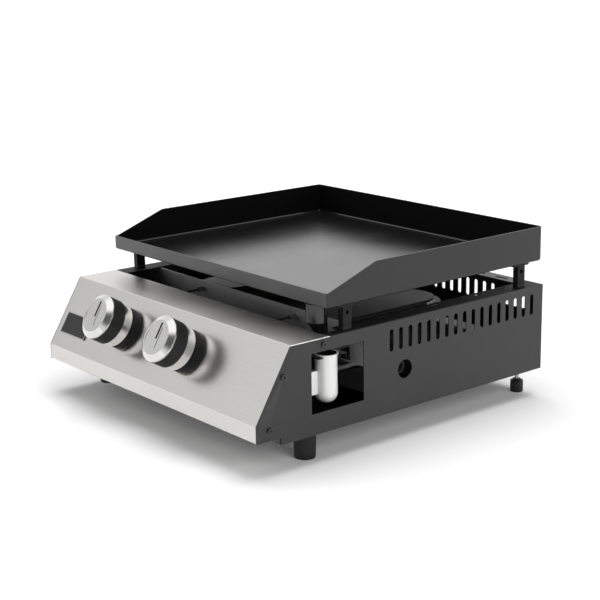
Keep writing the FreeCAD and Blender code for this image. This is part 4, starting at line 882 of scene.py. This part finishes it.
class GRIDDLE_OT_gas_train(bpy.types.Operator):
    """Inlet, manifold, valves, tubes, jets and burners"""
    bl_idname = "griddle.gas_train"
    bl_label = "Gas train"

    REAR_END = 45 * MM
    PORT_WALL = 5 * MM

    def execute(self, context):
        edge = context.scene.griddle_sizes.sheet_edge
        dress(["gas_inlet"], "black fitting", edge)
        dress(["manifold_pipe", *both_sides("gas_tube")], "aluminium")
        dress(both_sides("valve_body", "valve_plug", "jet"), "brass")
        dress(both_sides("valve_spring", "air_shutter"), "zinc")
        dress(both_sides("venturi", "burner_base"), "burner steel")
        for cover in dress(both_sides("burner_cover"), "burner cap", edge):
            self.brighten_ports(cover)
        dress(["firebox_baffle", "burner_rail"], "galvanised", edge)
        # Painted shade: the heat shield is made near-black
        dress(["heat_shield"], "blued sheet", edge)
        dress([*both_sides("igniter"), "ignition_leads"], "moulded black")
        # Painted shade: dark grey ceramic on the electrodes
        dress(["electrodes"], "ceramic")
        return {"FINISHED"}

    def brighten_ports(self, cover):
        """A painted highlight: light grey on the small walls of the ports at the cover's rear end.
        """
        corners = cover.data.vertices
        rear_end = max(corner.co.y for corner in corners) - self.REAR_END
        cover.data.materials.append(finish_of("cut metal"))
        for face in cover.data.polygons:
            across = max((corners[corner].co - face.center).length for corner in face.vertices)
            if (abs(face.normal.z) < 0.3 and across < self.PORT_WALL
                    and face.center.y > rear_end):
                face.material_index = 1


class GRIDDLE_OT_feet(bpy.types.Operator):
    """Front feet and the levelling feet at the back"""
    bl_idname = "griddle.feet"
    bl_label = "Feet"

    def execute(self, context):
        edge = context.scene.griddle_sizes.turned_edge
        dress(both_sides("front_foot", "levelling_pad"), "rubber", edge)
        dress(both_sides("levelling_stud"), "zinc")
        dress(["leveller_nuts"], "zinc", edge)
        return {"FINISHED"}


class GRIDDLE_OT_trim(bpy.types.Operator):
    """Bare badge plate and the sheet screws"""
    bl_idname = "griddle.trim"
    bl_label = "Trim"

    BORDER_DEPTH = 0.1 * MM

    def execute(self, context):
        edge = context.scene.griddle_sizes.turned_edge
        [badge] = dress(["badge_plate"], "moulded black", edge / 2)
        out = Vector(JOINTS["knob_left_turn"]["axis"])
        top = max(out.dot(corner.co) for corner in badge.data.vertices)

        def border(middle, normal):
            return out.dot(middle) > top - self.BORDER_DEPTH

        coat_faces(badge, finish_of("aluminium"), border)
        dress(["panel_screws"], "gloss enamel")
        return {"FINISHED"}


class GRIDDLE_PT_panel(bpy.types.Panel):
    """Sizes, colours and the buttons that dress the griddle"""
    bl_idname = "GRIDDLE_PT_panel"
    bl_label = "Griddle"
    bl_space_type = "VIEW_3D"
    bl_region_type = "UI"
    bl_category = "Griddle"

    def draw(self, context):
        layout = self.layout
        for settings in (context.scene.griddle_sizes, context.scene.griddle_colours):
            for prop in settings.bl_rna.properties:
                if prop.identifier not in ("rna_type", "name"):
                    layout.prop(settings, prop.identifier)
        for operator in OPERATORS:
            layout.operator(operator.bl_idname)


OPERATORS = (GRIDDLE_OT_stage, GRIDDLE_OT_cabinet, GRIDDLE_OT_plate, GRIDDLE_OT_grease_cup,
             GRIDDLE_OT_knobs, GRIDDLE_OT_gas_train, GRIDDLE_OT_feet, GRIDDLE_OT_trim)
CLASSES = (GriddleSizes, GriddleColours, *OPERATORS, GRIDDLE_PT_panel)


def register():
    for cls in CLASSES:
        bpy.utils.register_class(cls)
    bpy.types.Scene.griddle_sizes = PointerProperty(type=GriddleSizes)
    bpy.types.Scene.griddle_colours = PointerProperty(type=GriddleColours)


def unregister():
    del bpy.types.Scene.griddle_colours
    del bpy.types.Scene.griddle_sizes
    for cls in reversed(CLASSES):
        bpy.utils.unregister_class(cls)


def main():
    register()
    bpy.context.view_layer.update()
    bpy.ops.griddle.stage()
    bpy.ops.griddle.cabinet()
    bpy.ops.griddle.plate()
    bpy.ops.griddle.grease_cup()
    bpy.ops.griddle.knobs()
    bpy.ops.griddle.gas_train()
    bpy.ops.griddle.feet()
    bpy.ops.griddle.trim()


if __name__ == "__main__":
    main()
